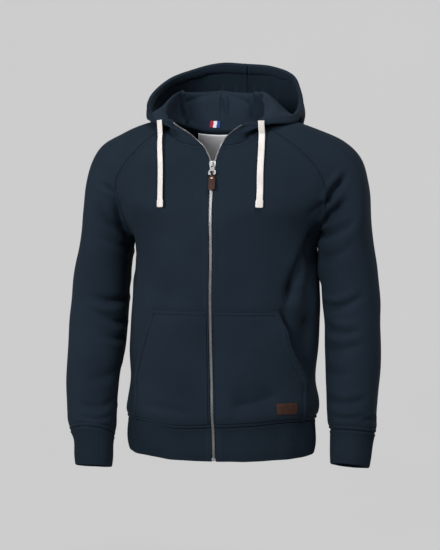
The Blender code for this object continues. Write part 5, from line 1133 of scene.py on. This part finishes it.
def cloth_finish(name, dark, light, fuzz, sheen, knit):
    mat, t, b = nodes_of(name)
    v = mapped(t)
    fine, broad = noise(t, v, 900, 3, 0.6), noise(t, v, 9, 3, 0.5)
    mix = math_node(t, "ADD", math_node(t, "MULTIPLY", fine, 0.62), math_node(t, "MULTIPLY", broad, 0.38))
    t.links.new(ramp(t, mix, [(0.36, dark), (0.64, light)]), b.inputs["Base Color"])
    b.inputs["Roughness"].default_value = 0.88
    b.inputs["Specular IOR Level"].default_value = 0.06
    b.inputs["Sheen Weight"].default_value = sheen
    b.inputs["Sheen Roughness"].default_value = 0.42
    b.inputs["Sheen Tint"].default_value = (0.62, 0.76, 0.92, 1)
    # columns of knit stitches across, courses up, and loose fibres over both
    across = node(t, "ShaderNodeTexWave", wave_type="BANDS", bands_direction="X", wave_profile="SIN")
    across.inputs["Scale"].default_value, across.inputs["Distortion"].default_value = knit, 1.2
    course = node(t, "ShaderNodeTexWave", wave_type="BANDS", bands_direction="Z", wave_profile="SIN")
    course.inputs["Scale"].default_value, course.inputs["Distortion"].default_value = knit * 1.25, 1.2
    for w in (across, course):
        t.links.new(v, w.inputs["Vector"])
    weave = math_node(t, "MULTIPLY", across.outputs["Fac"], course.outputs["Fac"])
    h = math_node(t, "ADD", math_node(t, "MULTIPLY", weave, 0.45), math_node(t, "MULTIPLY", fine, fuzz))
    bump(t, b, h, 0.00035, 0.55)
    return mat


FLEECE_DARK, FLEECE_LIGHT = (0.0058, 0.0104, 0.0166), (0.0094, 0.0158, 0.0242)
fleece = cloth_finish("navy_fleece", FLEECE_DARK, FLEECE_LIGHT, 0.9, 0.015, 160)
# a copy of the fleece 1.22 times lighter for the hood's inside: painted light, standing in for the light that reaches
# into the hood
inside_lit_fleece = cloth_finish("navy_fleece_painted_light_inside", tuple(k * 1.22 for k in FLEECE_DARK), tuple(k * 1.22 for k in FLEECE_LIGHT), 1.2, 0.03, 120)
rib_mat = cloth_finish("navy_rib_knit", tuple(k * 0.95 for k in FLEECE_DARK), tuple(k * 0.95 for k in FLEECE_LIGHT), 0.7, 0.015, 190)
thread = cloth_finish("navy_thread", tuple(k * 1.15 for k in FLEECE_DARK), tuple(k * 1.35 for k in FLEECE_LIGHT), 0.4, 0.08, 420)
tape_mat = cloth_finish("navy_tape", tuple(k * 0.8 for k in FLEECE_DARK), tuple(k * 0.8 for k in FLEECE_LIGHT), 0.4, 0.05, 320)
heather = cloth_finish("grey_heather_jersey", (0.78, 0.78, 0.82), (0.95, 0.95, 0.97), 0.7, 0.10, 260)
label_red = cloth_finish("label_red", (0.20, 0.012, 0.030), (0.30, 0.022, 0.045), 0.4, 0.05, 420)
label_white = cloth_finish("label_white", (0.46, 0.46, 0.47), (0.60, 0.60, 0.61), 0.4, 0.05, 420)
label_blue = cloth_finish("label_blue", (0.014, 0.034, 0.15), (0.025, 0.055, 0.21), 0.4, 0.05, 420)


def metal_finish(name, colour, rough):
    mat, t, b = nodes_of(name)
    v = mapped(t)
    wear, fine = noise(t, v, 260, 3, 0.6), noise(t, v, 1800, 2, 0.6)
    low = tuple(k * 0.72 for k in colour)
    t.links.new(ramp(t, wear, [(0.32, low), (0.62, colour)]), b.inputs["Base Color"])
    b.inputs["Metallic"].default_value = 1.0
    t.links.new(math_node(t, "ADD", math_node(t, "MULTIPLY", wear, 0.22), rough), b.inputs["Roughness"])
    bump(t, b, fine, 0.00005, 0.35)
    return mat


nickel = metal_finish("nickel", (0.33, 0.33, 0.34), 0.28)
tooth_mat = metal_finish("zip_tooth_metal", (0.31, 0.315, 0.33), 0.28)
copper = metal_finish("copper_rivet", (0.80, 0.46, 0.27), 0.20)


def leather_finish(name, dark, light):
    mat, t, b = nodes_of(name)
    v = mapped(t)
    grain = node(t, "ShaderNodeTexVoronoi", feature="DISTANCE_TO_EDGE")
    grain.inputs["Scale"].default_value = 950
    t.links.new(v, grain.inputs["Vector"])
    broad, fine = noise(t, v, 120, 4, 0.6), noise(t, v, 2200, 2, 0.5)
    t.links.new(ramp(t, broad, [(0.30, dark), (0.70, light)]), b.inputs["Base Color"])
    t.links.new(math_node(t, "ADD", math_node(t, "MULTIPLY", broad, 0.25), 0.38), b.inputs["Roughness"])
    b.inputs["Specular IOR Level"].default_value = 0.14
    h = math_node(t, "ADD", math_node(t, "MINIMUM", math_node(t, "MULTIPLY", grain.outputs["Distance"], 3.0), 0.5), math_node(t, "MULTIPLY", fine, 0.3))
    bump(t, b, h, 0.00022, 0.6)
    return mat


leather = leather_finish("brown_leather", (0.020, 0.0078, 0.0050), (0.036, 0.0145, 0.0095))
leather_thread = cloth_finish("brown_thread", (0.05, 0.026, 0.02), (0.09, 0.045, 0.034), 0.4, 0.05, 420)


def cord_finish(name):
    mat, t, b = nodes_of(name)
    v = mapped(t)
    fine, broad = noise(t, v, 1500, 3, 0.6), noise(t, v, 60, 2, 0.5)
    mix = math_node(t, "ADD", math_node(t, "MULTIPLY", fine, 0.5), math_node(t, "MULTIPLY", broad, 0.5))
    t.links.new(ramp(t, mix, [(0.30, (0.475, 0.445, 0.425)), (0.60, (0.585, 0.55, 0.53))]), b.inputs["Base Color"])
    b.inputs["Roughness"].default_value = 0.85
    b.inputs["Sheen Weight"].default_value = 0.15
    strands = []
    for turn in (radians(38), radians(-38)):
        w = node(t, "ShaderNodeTexWave", wave_type="BANDS", bands_direction="Z", wave_profile="SIN")
        w.inputs["Scale"].default_value, w.inputs["Distortion"].default_value = 260, 0.5
        t.links.new(mapped(t, turn=(0, turn, 0)), w.inputs["Vector"])
        strands.append(w.outputs["Fac"])
    h = math_node(t, "ADD", math_node(t, "MULTIPLY", math_node(t, "MULTIPLY", strands[0], strands[1]), 1.0), math_node(t, "MULTIPLY", fine, 0.3))
    bump(t, b, h, 0.0004, 0.8)
    return mat


cord_mat = cord_finish("offwhite_braid")

# ---------------------------------------------------------------- the cloth made
MADE = {}
FINISH = {"hem_rib": (rib_mat, "rib"), "cuff_left": (rib_mat, "rib"), "cuff_right": (rib_mat, "rib")}
for name, (c, thick, out, inn) in PIECES.items():
    verts, faces = wall_arrays(c, thick, out, inn)
    mat, slot_name = FINISH.get(name, (fleece, "fleece"))
    MADE[name] = put(name + "_cloth", verts, faces, mat, replaces=[name])
    if name.startswith("hood"):
        # the hood's inside faces take the lighter fleece copy, which is painted light inside the hood
        MADE[name].data.materials.append(inside_lit_fleece)
        m = wall_arrays.one_side
        for poly in MADE[name].data.polygons[m:2 * m]:
            poly.material_index = 1


class Strip:
    """A grid of points with normals, for pieces laid on the cloth."""

    def __init__(self, p, n):
        self.p, self.n = p, n / np.linalg.norm(n, axis=-1, keepdims=True)
        self.closed = np.zeros(p.shape[0], bool)
        i, j = p.shape[0] // 2, p.shape[1] // 2
        q = np.cross(p[i + 1, j] - p[i - 1, j], p[i, j + 1] - p[i, j - 1]) if p.shape[0] > 2 and p.shape[1] > 2 else np.cross(p[1, 0] - p[0, 0], p[0, 1] - p[0, 0])
        self.sign = 1.0 if q @ self.n[i, j] > 0 else -1.0


# ---------------------------------------------------------------- leather patch, neck patch, label
pocket, pb = PIECES["pocket_left"][0], PATCH_BOX
vv = np.linspace(pb["v0"], pb["v1"], 26)
ww = np.linspace(pb["w0"], pb["w1"], 44)
V, W = np.meshgrid(vv, ww, indexing="ij")
F = (W - 0.012) / (curve(POCKET["v"], POCKET["left"], V) - 0.012)
y, x = np.meshgrid(np.linspace(-1, 1, 26), np.linspace(-1, 1, 44), indexing="ij")
# rounded corners: places near a corner are drawn in
corner = np.clip(np.abs(x) - 0.93, 0, 1) * np.clip(np.abs(y) - 0.86, 0, 1) / (0.07 * 0.14)
V = V - np.sign(y) * (pb["v1"] - pb["v0"]) * 0.020 * corner
F = F - np.sign(x) * 0.0090 * corner
smooth_out = FLEECE / 2 + PATCH / 2 + 0.0006
p, n = pocket.on(V, F, smooth_out)
patch = Strip(p, n)
edge_in = np.minimum((1 - np.abs(x)) * 0.0200, (1 - np.abs(y)) * 0.0125)
relief = -0.00045 * np.exp(-(edge_in / 0.0007) ** 2) - 0.00032 * np.exp(-((edge_in - 0.0019) / 0.0005) ** 2)
verts, faces = wall_arrays(patch, PATCH, relief, np.zeros_like(relief), draw=0.0)
MADE["leather_patch"] = put("leather_patch_blank", verts, faces, leather, replaces=["leather_patch"])
edge_thread = []


class Laid:
    def __init__(self, strip):
        self.s = strip
        self.r, self.c = np.arange(strip.p.shape[0]), np.arange(strip.p.shape[1])

    def on(self, r, k, lift):
        i, j = np.clip(np.floor(r).astype(int), 0, len(self.r) - 2), np.clip(np.floor(k).astype(int), 0, len(self.c) - 2)
        a, b = (r - i)[:, None], (k - j)[:, None]
        f = lambda g: g[i, j] * (1 - a) * (1 - b) + g[i + 1, j] * a * (1 - b) + g[i, j + 1] * (1 - a) * b + g[i + 1, j + 1] * a * b
        n = f(self.s.n)
        n /= np.linalg.norm(n, axis=1, keepdims=True)
        return f(self.s.p) + n * lift, n


rr = np.array([3.6] * 30 + list(np.linspace(3.6, 21.4, 20)) + [21.4] * 30 + list(np.linspace(21.4, 3.6, 20)))
cc = np.array(list(np.linspace(3.8, 39.2, 30)) + [39.2] * 20 + list(np.linspace(39.2, 3.8, 30)) + [3.8] * 20)
stitch_row(Laid(patch), rr, cc, PATCH / 2 - 0.0001, pitch=0.0024, long=0.0018, wide=0.00032, into=edge_thread)

PATCH_HALF, PATCH_TOP, PATCH_LOW, PATCH_W = 0.048, 1.975, 1.62, -0.04
back = cloth["back"]


def half_moon(i, j, inset=0.0):
    v = PATCH_TOP + (PATCH_LOW - PATCH_TOP) * i
    across = np.linalg.norm(panel(v, 0.5 + 0 * v, 1, -1) - panel(v, 0 * v, 1, -1), axis=-1) * 2
    half = PATCH_HALF * np.sqrt(np.maximum(1 - i ** 3.2, 0.004)) - inset
    return v, PATCH_W + j * half / across


i, j = np.meshgrid(np.sin(np.linspace(0, pi / 2, 40)), np.linspace(-1, 1, 46), indexing="ij")
v, w = half_moon(i, j)
p, n = back.on(v, w, -(FLEECE / 2 + 0.0018))
moon = Strip(p, -n)
verts, faces = wall_arrays(moon, 0.0012, np.zeros(p.shape[:2]), np.zeros(p.shape[:2]), draw=0.0)
MADE["neck_patch"] = put("neck_patch_cloth", verts, faces, heather, replaces=["neck_patch"])
grey_thread = []
t = np.linspace(0, 1, 60)
v1, w1 = half_moon(0.965 * np.sin(t * pi / 2), 0 * t - 1, 0.0022)
v2, w2 = half_moon(0.965 * np.sin(t[::-1] * pi / 2), 0 * t + 1, 0.0022)


class Under:
    """The back's inside, for stitches that lie on the neck patch."""

    def on(self, r, k, lift):
        p, n = back.on(r, k, -(FLEECE / 2 + 0.0018 + 0.0006 + lift))
        return p, -n


stitch_row(Under(), np.concatenate([v1, v2]), np.concatenate([w1, w2]), 0.0001, pitch=0.0030, long=0.0022, wide=0.00035, into=grey_thread)

c = cloth["hood_right"]
s_l, a_l = np.meshgrid(np.linspace(0.020, 0.052, 12), 0.030 + 0.034 * 0.9 * np.linspace(-1, 1, 25), indexing="ij")
p, n = c.on(s_l, a_l, -(FLEECE / 2 + 0.0013))
lab = Strip(p, -n)
verts, faces = wall_arrays(lab, LABEL, np.zeros(p.shape[:2]), np.zeros(p.shape[:2]), draw=0.0)
MADE["flag_label"] = put("stripe_label", verts, faces, [label_red, label_white, label_blue], replaces=["flag_label"])
mesh = MADE["flag_label"].data
p_lo, p_hi = p[:, 0].mean(0), p[:, -1].mean(0)
way = (p_hi - p_lo) / np.linalg.norm(p_hi - p_lo)
span = (p_hi - p_lo) @ way
for poly in mesh.polygons:
    f = (np.array(poly.center) - p_lo) @ way / span
    poly.material_index = 2 if f < 1 / 3 else 1 if f < 2 / 3 else 0


# ---------------------------------------------------------------- zip
def front_edge(side):
    """A front edge from the bottom of the hem rib to the rim of the hood: places, outward normals, directions into the cloth."""
    who = "left" if side > 0 else "right"
    f, h, m = cloth["front_" + who], cloth["hood_" + who], HEM
    t_edge, t_in = (4.0, 3.98) if side > 0 else (0.0, 0.02)
    parts = []
    rows = np.linspace(0.985, 0.02, 26)
    parts.append((m, rows, np.full(26, t_edge), np.full(26, t_in)))
    rows = np.linspace(0.004, 1.996, 190)
    parts.append((f, rows, np.zeros(190), np.full(190, 0.02)))
    rows = np.linspace(0.01, 0.965, 46)
    parts.append((h, rows, np.ones(46), np.full(46, 0.992)))
    p, n, into = [], [], []
    for c, r, e, i in parts:
        a, m1 = c.on(r, e)
        b, _ = c.on(r, i)
        d = b - a
        d -= m1 * (d * m1).sum(-1, keepdims=True)
        p.append(a), n.append(m1), into.append(d / np.linalg.norm(d, axis=-1, keepdims=True))
    p, n, into = (np.concatenate(k) for k in (p, n, into))
    # even out the passage from one piece to the next
    for _ in range(6):
        for g in (p, n, into):
            g[1:-1] = 0.25 * g[:-2] + 0.5 * g[1:-1] + 0.25 * g[2:]
    s = np.concatenate([[0], np.cumsum(np.linalg.norm(np.diff(p, axis=0), axis=1))])
    return p, n, into, s


def sampled(edge, want):
    p, n, into, s = edge
    f = lambda g: np.stack([np.interp(want, s, g[:, i]) for i in range(3)], -1)
    a, b, c = f(p), f(n), f(into)
    b /= np.linalg.norm(b, axis=1, keepdims=True)
    c -= b * (b * c).sum(-1, keepdims=True)
    return a, b, c / np.linalg.norm(c, axis=1, keepdims=True)


TOOTH = 0.0027
OUTLINE = np.array([(-0.0012, 0.00070), (-0.0026, 0.00072), (-0.0035, 0.00112), (-0.0042, 0.00098), (-0.0046, 0.00045),
                    (-0.0046, -0.00045), (-0.0042, -0.00098), (-0.0035, -0.00112), (-0.0026, -0.00072), (-0.0012, -0.00070)])
LEVELS = ((-0.0021, 0.72), (-0.0016, 1.0), (0.0008, 1.0), (0.0014, 0.70))
edges = {}
for side, who in ((1, "left"), (-1, "right")):
    edge = front_edge(side)
    edges[who] = edge
    total = edge[3][-1]
    # tape behind the edge
    want = np.linspace(0.0004, total - 0.003, 300)
    a, n, into = sampled(edge, want)
    xs = np.array([-0.0030, -0.0016, 0.0006, 0.0030, 0.0060, 0.0090, 0.0112, 0.0130])
    p = a[:, None] + into[:, None] * xs[None, :, None] - n[:, None] * (FLEECE / 2 + 0.0011 + TAPE / 2)
    g = Strip(p, np.repeat(n[:, None], len(xs), 1))
    ridge = 0.00025 * np.exp(-((xs[None, :] - 0.0112) / 0.0006) ** 2) * np.ones(len(want))[:, None]
    verts, faces = wall_arrays(g, TAPE, ridge, ridge * 0, draw=0.0)
    MADE["zip_tape_" + who] = put("zip_tape_" + who + "_woven", verts, faces, tape_mat, replaces=["zip_tape_" + who])
    # teeth, those of one side between those of the other
    shift = 0.0 if side > 0 else 0.5
    count = int((total - 0.010) / TOOTH)
    at0 = 0.0062 + TOOTH * (np.arange(count) + shift)
    a, n, into = sampled(edge, at0)
    a2, _, _ = sampled(edge, at0 + 0.0005)
    a1, _, _ = sampled(edge, at0 - 0.0005)
    along = a2 - a1
    along /= np.linalg.norm(along, axis=1, keepdims=True)
    rings = []
    for z, grow in LEVELS:
        o = OUTLINE.copy()
        mid = np.array([-0.0024, 0.0])
        o = mid + (o - mid) * [0.5 + 0.5 * grow, grow]
        rings.append(a[:, None] + into[:, None] * o[None, :, :1] + along[:, None] * o[None, :, 1:] + n[:, None] * z)
    v = np.stack(rings, 1)
    m = len(OUTLINE)
    faces = []
    local = [[k * m + q, k * m + (q + 1) % m, (k + 1) * m + (q + 1) % m, (k + 1) * m + q] for k in range(3) for q in range(m)]
    local_caps = [list(range(m))[::-1], list(range(3 * m, 4 * m))]
    for k in range(count):
        faces += [[i + k * 4 * m for i in f] for f in local] + [[i + k * 4 * m for i in f] for f in local_caps]
    obj = put("zip_teeth_" + who + "_set", v.reshape(-1, 3), faces, tooth_mat, replaces=["zip_teeth_" + who], smooth_shade=False)
    bm = bmesh.new()
    bm.from_mesh(obj.data)
    bmesh.ops.recalc_face_normals(bm, faces=bm.faces)
    bm.to_mesh(obj.data)
    bm.free()

for name, mat in (("zip_slider", nickel), ("zip_pull", nickel), ("zip_stop", nickel), ("zip_pull_rivet", copper)):
    o = NODES[name]
    o.data.materials.clear()
    o.data.materials.append(mat)

# leather tab: one strip folded through the ring, its two leaves pressed together and riveted
TAB = Matrix(((0.99960446, -0.02674718, -0.00868926, -0.00381266), (0.00000000, 0.30897096, -0.95107150, -0.12026858),
              (0.02812321, 0.95069528, 0.30884874, -0.10417194), (0.00000000, 0.00000000, 0.00000000, 1.00000000)))
leaf_y = [-0.0314, -0.0308, -0.0290, -0.0250, -0.0205, -0.0160, -0.0120, -0.0085, -0.0062, -0.0048, -0.0036]
line = [(y, 0.00062) for y in leaf_y] + [(0.0024 * np.sin(a), 0.0024 * np.cos(a)) for a in np.linspace(-0.75, pi + 0.75, 15)] + [(y, -0.00062) for y in leaf_y[::-1]]
line = np.array(line)
wide = np.array([0.0116, 0.0126, 0.0130, 0.0130, 0.0130, 0.0130, 0.0130, 0.0128, 0.0118, 0.0092, 0.0064] + [0.0046] * 15
                + [0.0064, 0.0092, 0.0118, 0.0128, 0.0130, 0.0130, 0.0130, 0.0130, 0.0130, 0.0126, 0.0116])
verts, faces = [], []
section = [(-1, 0), (-0.97, 0.62), (-0.88, 1), (-0.4, 1), (0.4, 1), (0.88, 1), (0.97, 0.62), (1, 0), (0.97, -0.62), (0.88, -1), (0.4, -1), (-0.4, -1), (-0.88, -1), (-0.97, -0.62)]
for k in range(len(line)):
    d = line[min(k + 1, len(line) - 1)] - line[max(k - 1, 0)]
    d = d / np.linalg.norm(d)
    nrm = np.array([-d[1], d[0]])
    half = 0.00055 if 11 <= k < 26 else 0.00058
    for sx, sz in section:
        y, z = line[k] + nrm * sz * half
        q = TAB @ Vector((sx * wide[k] / 2, y, z))
        verts.append(tuple(q))
m = len(section)
for k in range(len(line) - 1):
    for q in range(m):
        faces.append([k * m + q, k * m + (q + 1) % m, (k + 1) * m + (q + 1) % m, (k + 1) * m + q])
faces += [list(range(m))[::-1], list(range((len(line) - 1) * m, len(line) * m))]
tab = put("pull_leather_leaf", verts, faces, leather, body="zip_pull_tab", replaces=["zip_pull_tab"])
bm = bmesh.new()
bm.from_mesh(tab.data)
bmesh.ops.recalc_face_normals(bm, faces=bm.faces)
bm.to_mesh(tab.data)
bm.free()
MADE["zip_pull_tab"] = tab


# ---------------------------------------------------------------- drawcords
def on_front(x, z, side):
    """Place on a front with the given x and z, found by steps, with its normal."""
    v, w = 1.6, 0.6
    for _ in range(30):
        p = panel(np.float64(v), np.float64(w), side, 1)
        dv = (panel(np.float64(v + 1e-3), np.float64(w), side, 1) - p) / 1e-3
        dw = (panel(np.float64(v), np.float64(w + 1e-3), side, 1) - p) / 1e-3
        m = np.array([[dv[0], dw[0]], [dv[2], dw[2]]])
        step = np.linalg.solve(m, [x - p[0], z - p[2]])
        v, w = float(np.clip(v + step[0], 0.05, 1.99)), float(np.clip(w + step[1], 0.02, 0.995))
    n = np.cross(dv, dw)
    n = n / np.linalg.norm(n)
    return p, n * (1 if n[1] < 0 else -1)


BRAID_WIDE = 0.0124


def cord_route(side, count):
    """Middle line of a drawcord from the casing to its free end, with the outward normals."""
    who = "left" if side > 0 else "right"
    start = hood(np.float64(CORD_EXIT[who]), np.float64(0.97), side)
    end_x, end_z = CORD_END[who]
    pts, outs = [], []
    for t in np.linspace(0, 1, count):
        z = start[2] - 0.003 + (end_z - start[2] + 0.003) * t
        x = start[0] + (end_x - start[0]) * t + float(curve(CORD_HANG["t"], CORD_HANG[who], t))
        p, n = on_front(x, min(z, -0.026), side)
        free = smooth((z + 0.034) / 0.034)
        y = p[1] - CORD_FACE[who][1] / max(-n[1], 0.5)
        pts.append((x, y * (1 - free) + (start[1] - 0.0162) * free, z))
        outs.append((CORD_FACE[who][0], -1, 0))
    return np.array(pts), np.array(outs)


CORD_LONG = dict(left=0.170, right=0.170)
for side, who in ((1, "left"), (-1, "right")):
    pts, outs = cord_route(side, 36)
    fine = 200
    s = np.concatenate([[0], np.cumsum(np.linalg.norm(np.diff(pts, axis=0), axis=1))])
    want = np.linspace(0, s[-1], fine)
    mid = np.stack([curve(s, pts[:, k], want) for k in range(3)], -1)
    out = np.stack([np.interp(want, s, outs[:, k]) for k in range(3)], -1)
    along = np.gradient(mid, axis=0)
    along /= np.linalg.norm(along, axis=1, keepdims=True)
    out -= along * (out * along).sum(-1, keepdims=True)
    out /= np.linalg.norm(out, axis=1, keepdims=True)
    across = np.cross(along, out)
    left_over = s[-1] - want
    # the end is turned back on itself and sewn across
    grow = 1 + 0.20 * smooth((0.017 - left_over) / 0.004) * (1 - 0.35 * np.exp(-((left_over - 0.0145) / 0.0016) ** 2))
    thick = 1 + 0.28 * smooth((0.017 - left_over) / 0.005) - 0.30 * np.exp(-((left_over - 0.0135) / 0.0012) ** 2)
    tip = np.sqrt(np.clip(left_over / 0.0016, 0, 1) * (2 - np.clip(left_over / 0.0016, 0, 1))) * 0.35 + 0.65
    ths = np.linspace(0, 2 * pi, 28, endpoint=False)
    bx = np.sign(np.cos(ths)) * np.abs(np.cos(ths)) ** 0.55
    bz = np.sign(np.sin(ths)) * np.abs(np.sin(ths)) ** 0.75
    plait = 1 + 0.07 * np.cos(2 * pi * want[:, None] / 0.0030 + 3.5 * np.abs(bx)[None, :] * pi)
    sway = 0.0005 * np.sin(want * 62 + side)
    v = (mid[:, None] + across[:, None] * ((0.5 * BRAID_WIDE * (grow * tip)[:, None] * bx[None, :] + sway[:, None])[..., None])
         + out[:, None] * ((0.5 * CORD_THICK * (thick * tip)[:, None] * bz[None, :] * plait)[..., None]))
    m = len(ths)
    faces = [[i * m + q, i * m + (q + 1) % m, (i + 1) * m + (q + 1) % m, (i + 1) * m + q] for i in range(fine - 1) for q in range(m)]
    faces += [list(range(m))[::-1], list(range((fine - 1) * m, fine * m))]
    obj = put("drawcord_" + who + "_braid", v.reshape(-1, 3), faces, cord_mat, replaces=["drawcord_" + who])
    bm = bmesh.new()
    bm.from_mesh(obj.data)
    bmesh.ops.recalc_face_normals(bm, faces=bm.faces)
    bm.to_mesh(obj.data)
    bm.free()
    MADE["drawcord_" + who] = obj

verts, faces = stitch_mesh(STITCHES)
MADE["stitches"] = put("stitching", verts, faces, thread)
verts, faces = stitch_mesh(edge_thread)
put("patch_stitching", verts, faces, leather_thread)
verts, faces = stitch_mesh(grey_thread)
put("neck_patch_stitching", verts, faces, heather)


# ---------------------------------------------------------------- floor, light and camera
floor_mat, t, b = nodes_of("pale_floor")
v = mapped(t)
t.links.new(ramp(t, noise(t, v, 3, 2, 0.5), [(0.3, (0.050, 0.050, 0.050)), (0.7, (0.060, 0.060, 0.060))]), b.inputs["Base Color"])
b.inputs["Roughness"].default_value = 0.95
b.inputs["Specular IOR Level"].default_value = 0.0
b.inputs["Emission Color"].default_value = (1, 1, 1, 1)
b.inputs["Emission Strength"].default_value = 0.565
FLOOR_Z = -1.05
prof = [(-5.0, FLOOR_Z), (1.6, FLOOR_Z)] + [(1.6 + 1.4 * sin(a), FLOOR_Z + 1.4 * (1 - cos(a))) for a in np.linspace(0.1, pi / 2, 16)] + [(3.0, 2.6)]
verts, faces = [], []
for y, z in prof:
    verts += [(-3.4, y, z), (3.0, y, z)]
for k in range(len(prof) - 1):
    faces.append([2 * k, 2 * k + 1, 2 * k + 3, 2 * k + 2])
mesh = bpy.data.meshes.new("floor")
mesh.from_pydata(verts, [], faces)
mesh.polygons.foreach_set("use_smooth", np.ones(len(mesh.polygons), bool))
floor = bpy.data.objects.new("floor", mesh)
bpy.context.scene.collection.objects.link(floor)
floor.data.materials.append(floor_mat)
floor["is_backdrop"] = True

world = bpy.data.worlds.new("studio")
bpy.context.scene.world = world
world.use_nodes = True
world.node_tree.nodes["Background"].inputs["Color"].default_value = (1, 1, 1, 1)
world.node_tree.nodes["Background"].inputs["Strength"].default_value = 0.22


def area_light(name, place, aim, size, power, colour=(1, 1, 1)):
    data = bpy.data.lights.new(name, "AREA")
    data.shape, data.size, data.size_y, data.energy, data.color = "RECTANGLE", size[0], size[1], power, colour
    obj = bpy.data.objects.new(name, data)
    bpy.context.scene.collection.objects.link(obj)
    obj.location = place
    obj.rotation_euler = (Vector(aim) - Vector(place)).to_track_quat("-Z", "Y").to_euler()
    return obj


area_light("key", (-1.25, -2.45, 0.62), (0, 0, -0.28), (0.9, 0.9), 79)
area_light("fill", (1.8, -1.8, 1.3), (0, 0, -0.1), (1.0, 1.0), 22)
area_light("edge_left", (-2.5, -0.5, -0.2), (-0.2, 0, -0.35), (0.8, 1.6), 17)
area_light("top", (0.75, -1.0, 2.2), (0, 0, 0), (1.0, 0.8), 46)

# camera where the photograph was taken from
AZ, EL, FAR = radians(10.5), radians(3.5), 2.5
aim = Vector((-0.0103, 0.0, -0.3075))
place = aim + FAR * Vector((sin(AZ) * cos(EL), -cos(AZ) * cos(EL), sin(EL)))
cam = bpy.data.objects.new("camera", bpy.data.cameras.new("camera"))
bpy.context.scene.collection.objects.link(cam)
cam.location = place
cam.rotation_euler = (aim - place).to_track_quat("-Z", "Y").to_euler()
cam.data.sensor_fit, cam.data.sensor_height, cam.data.sensor_width = "AUTO", 36, 36
cam.data.lens = 36 * 1219.5 / 550
cam.data.clip_start, cam.data.clip_end = 0.05, 50
bpy.context.scene.camera = cam
view = bpy.context.scene.view_settings
view.view_transform, view.look, view.exposure, view.gamma = "Standard", "None", 0.0, 1.0

low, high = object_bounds()
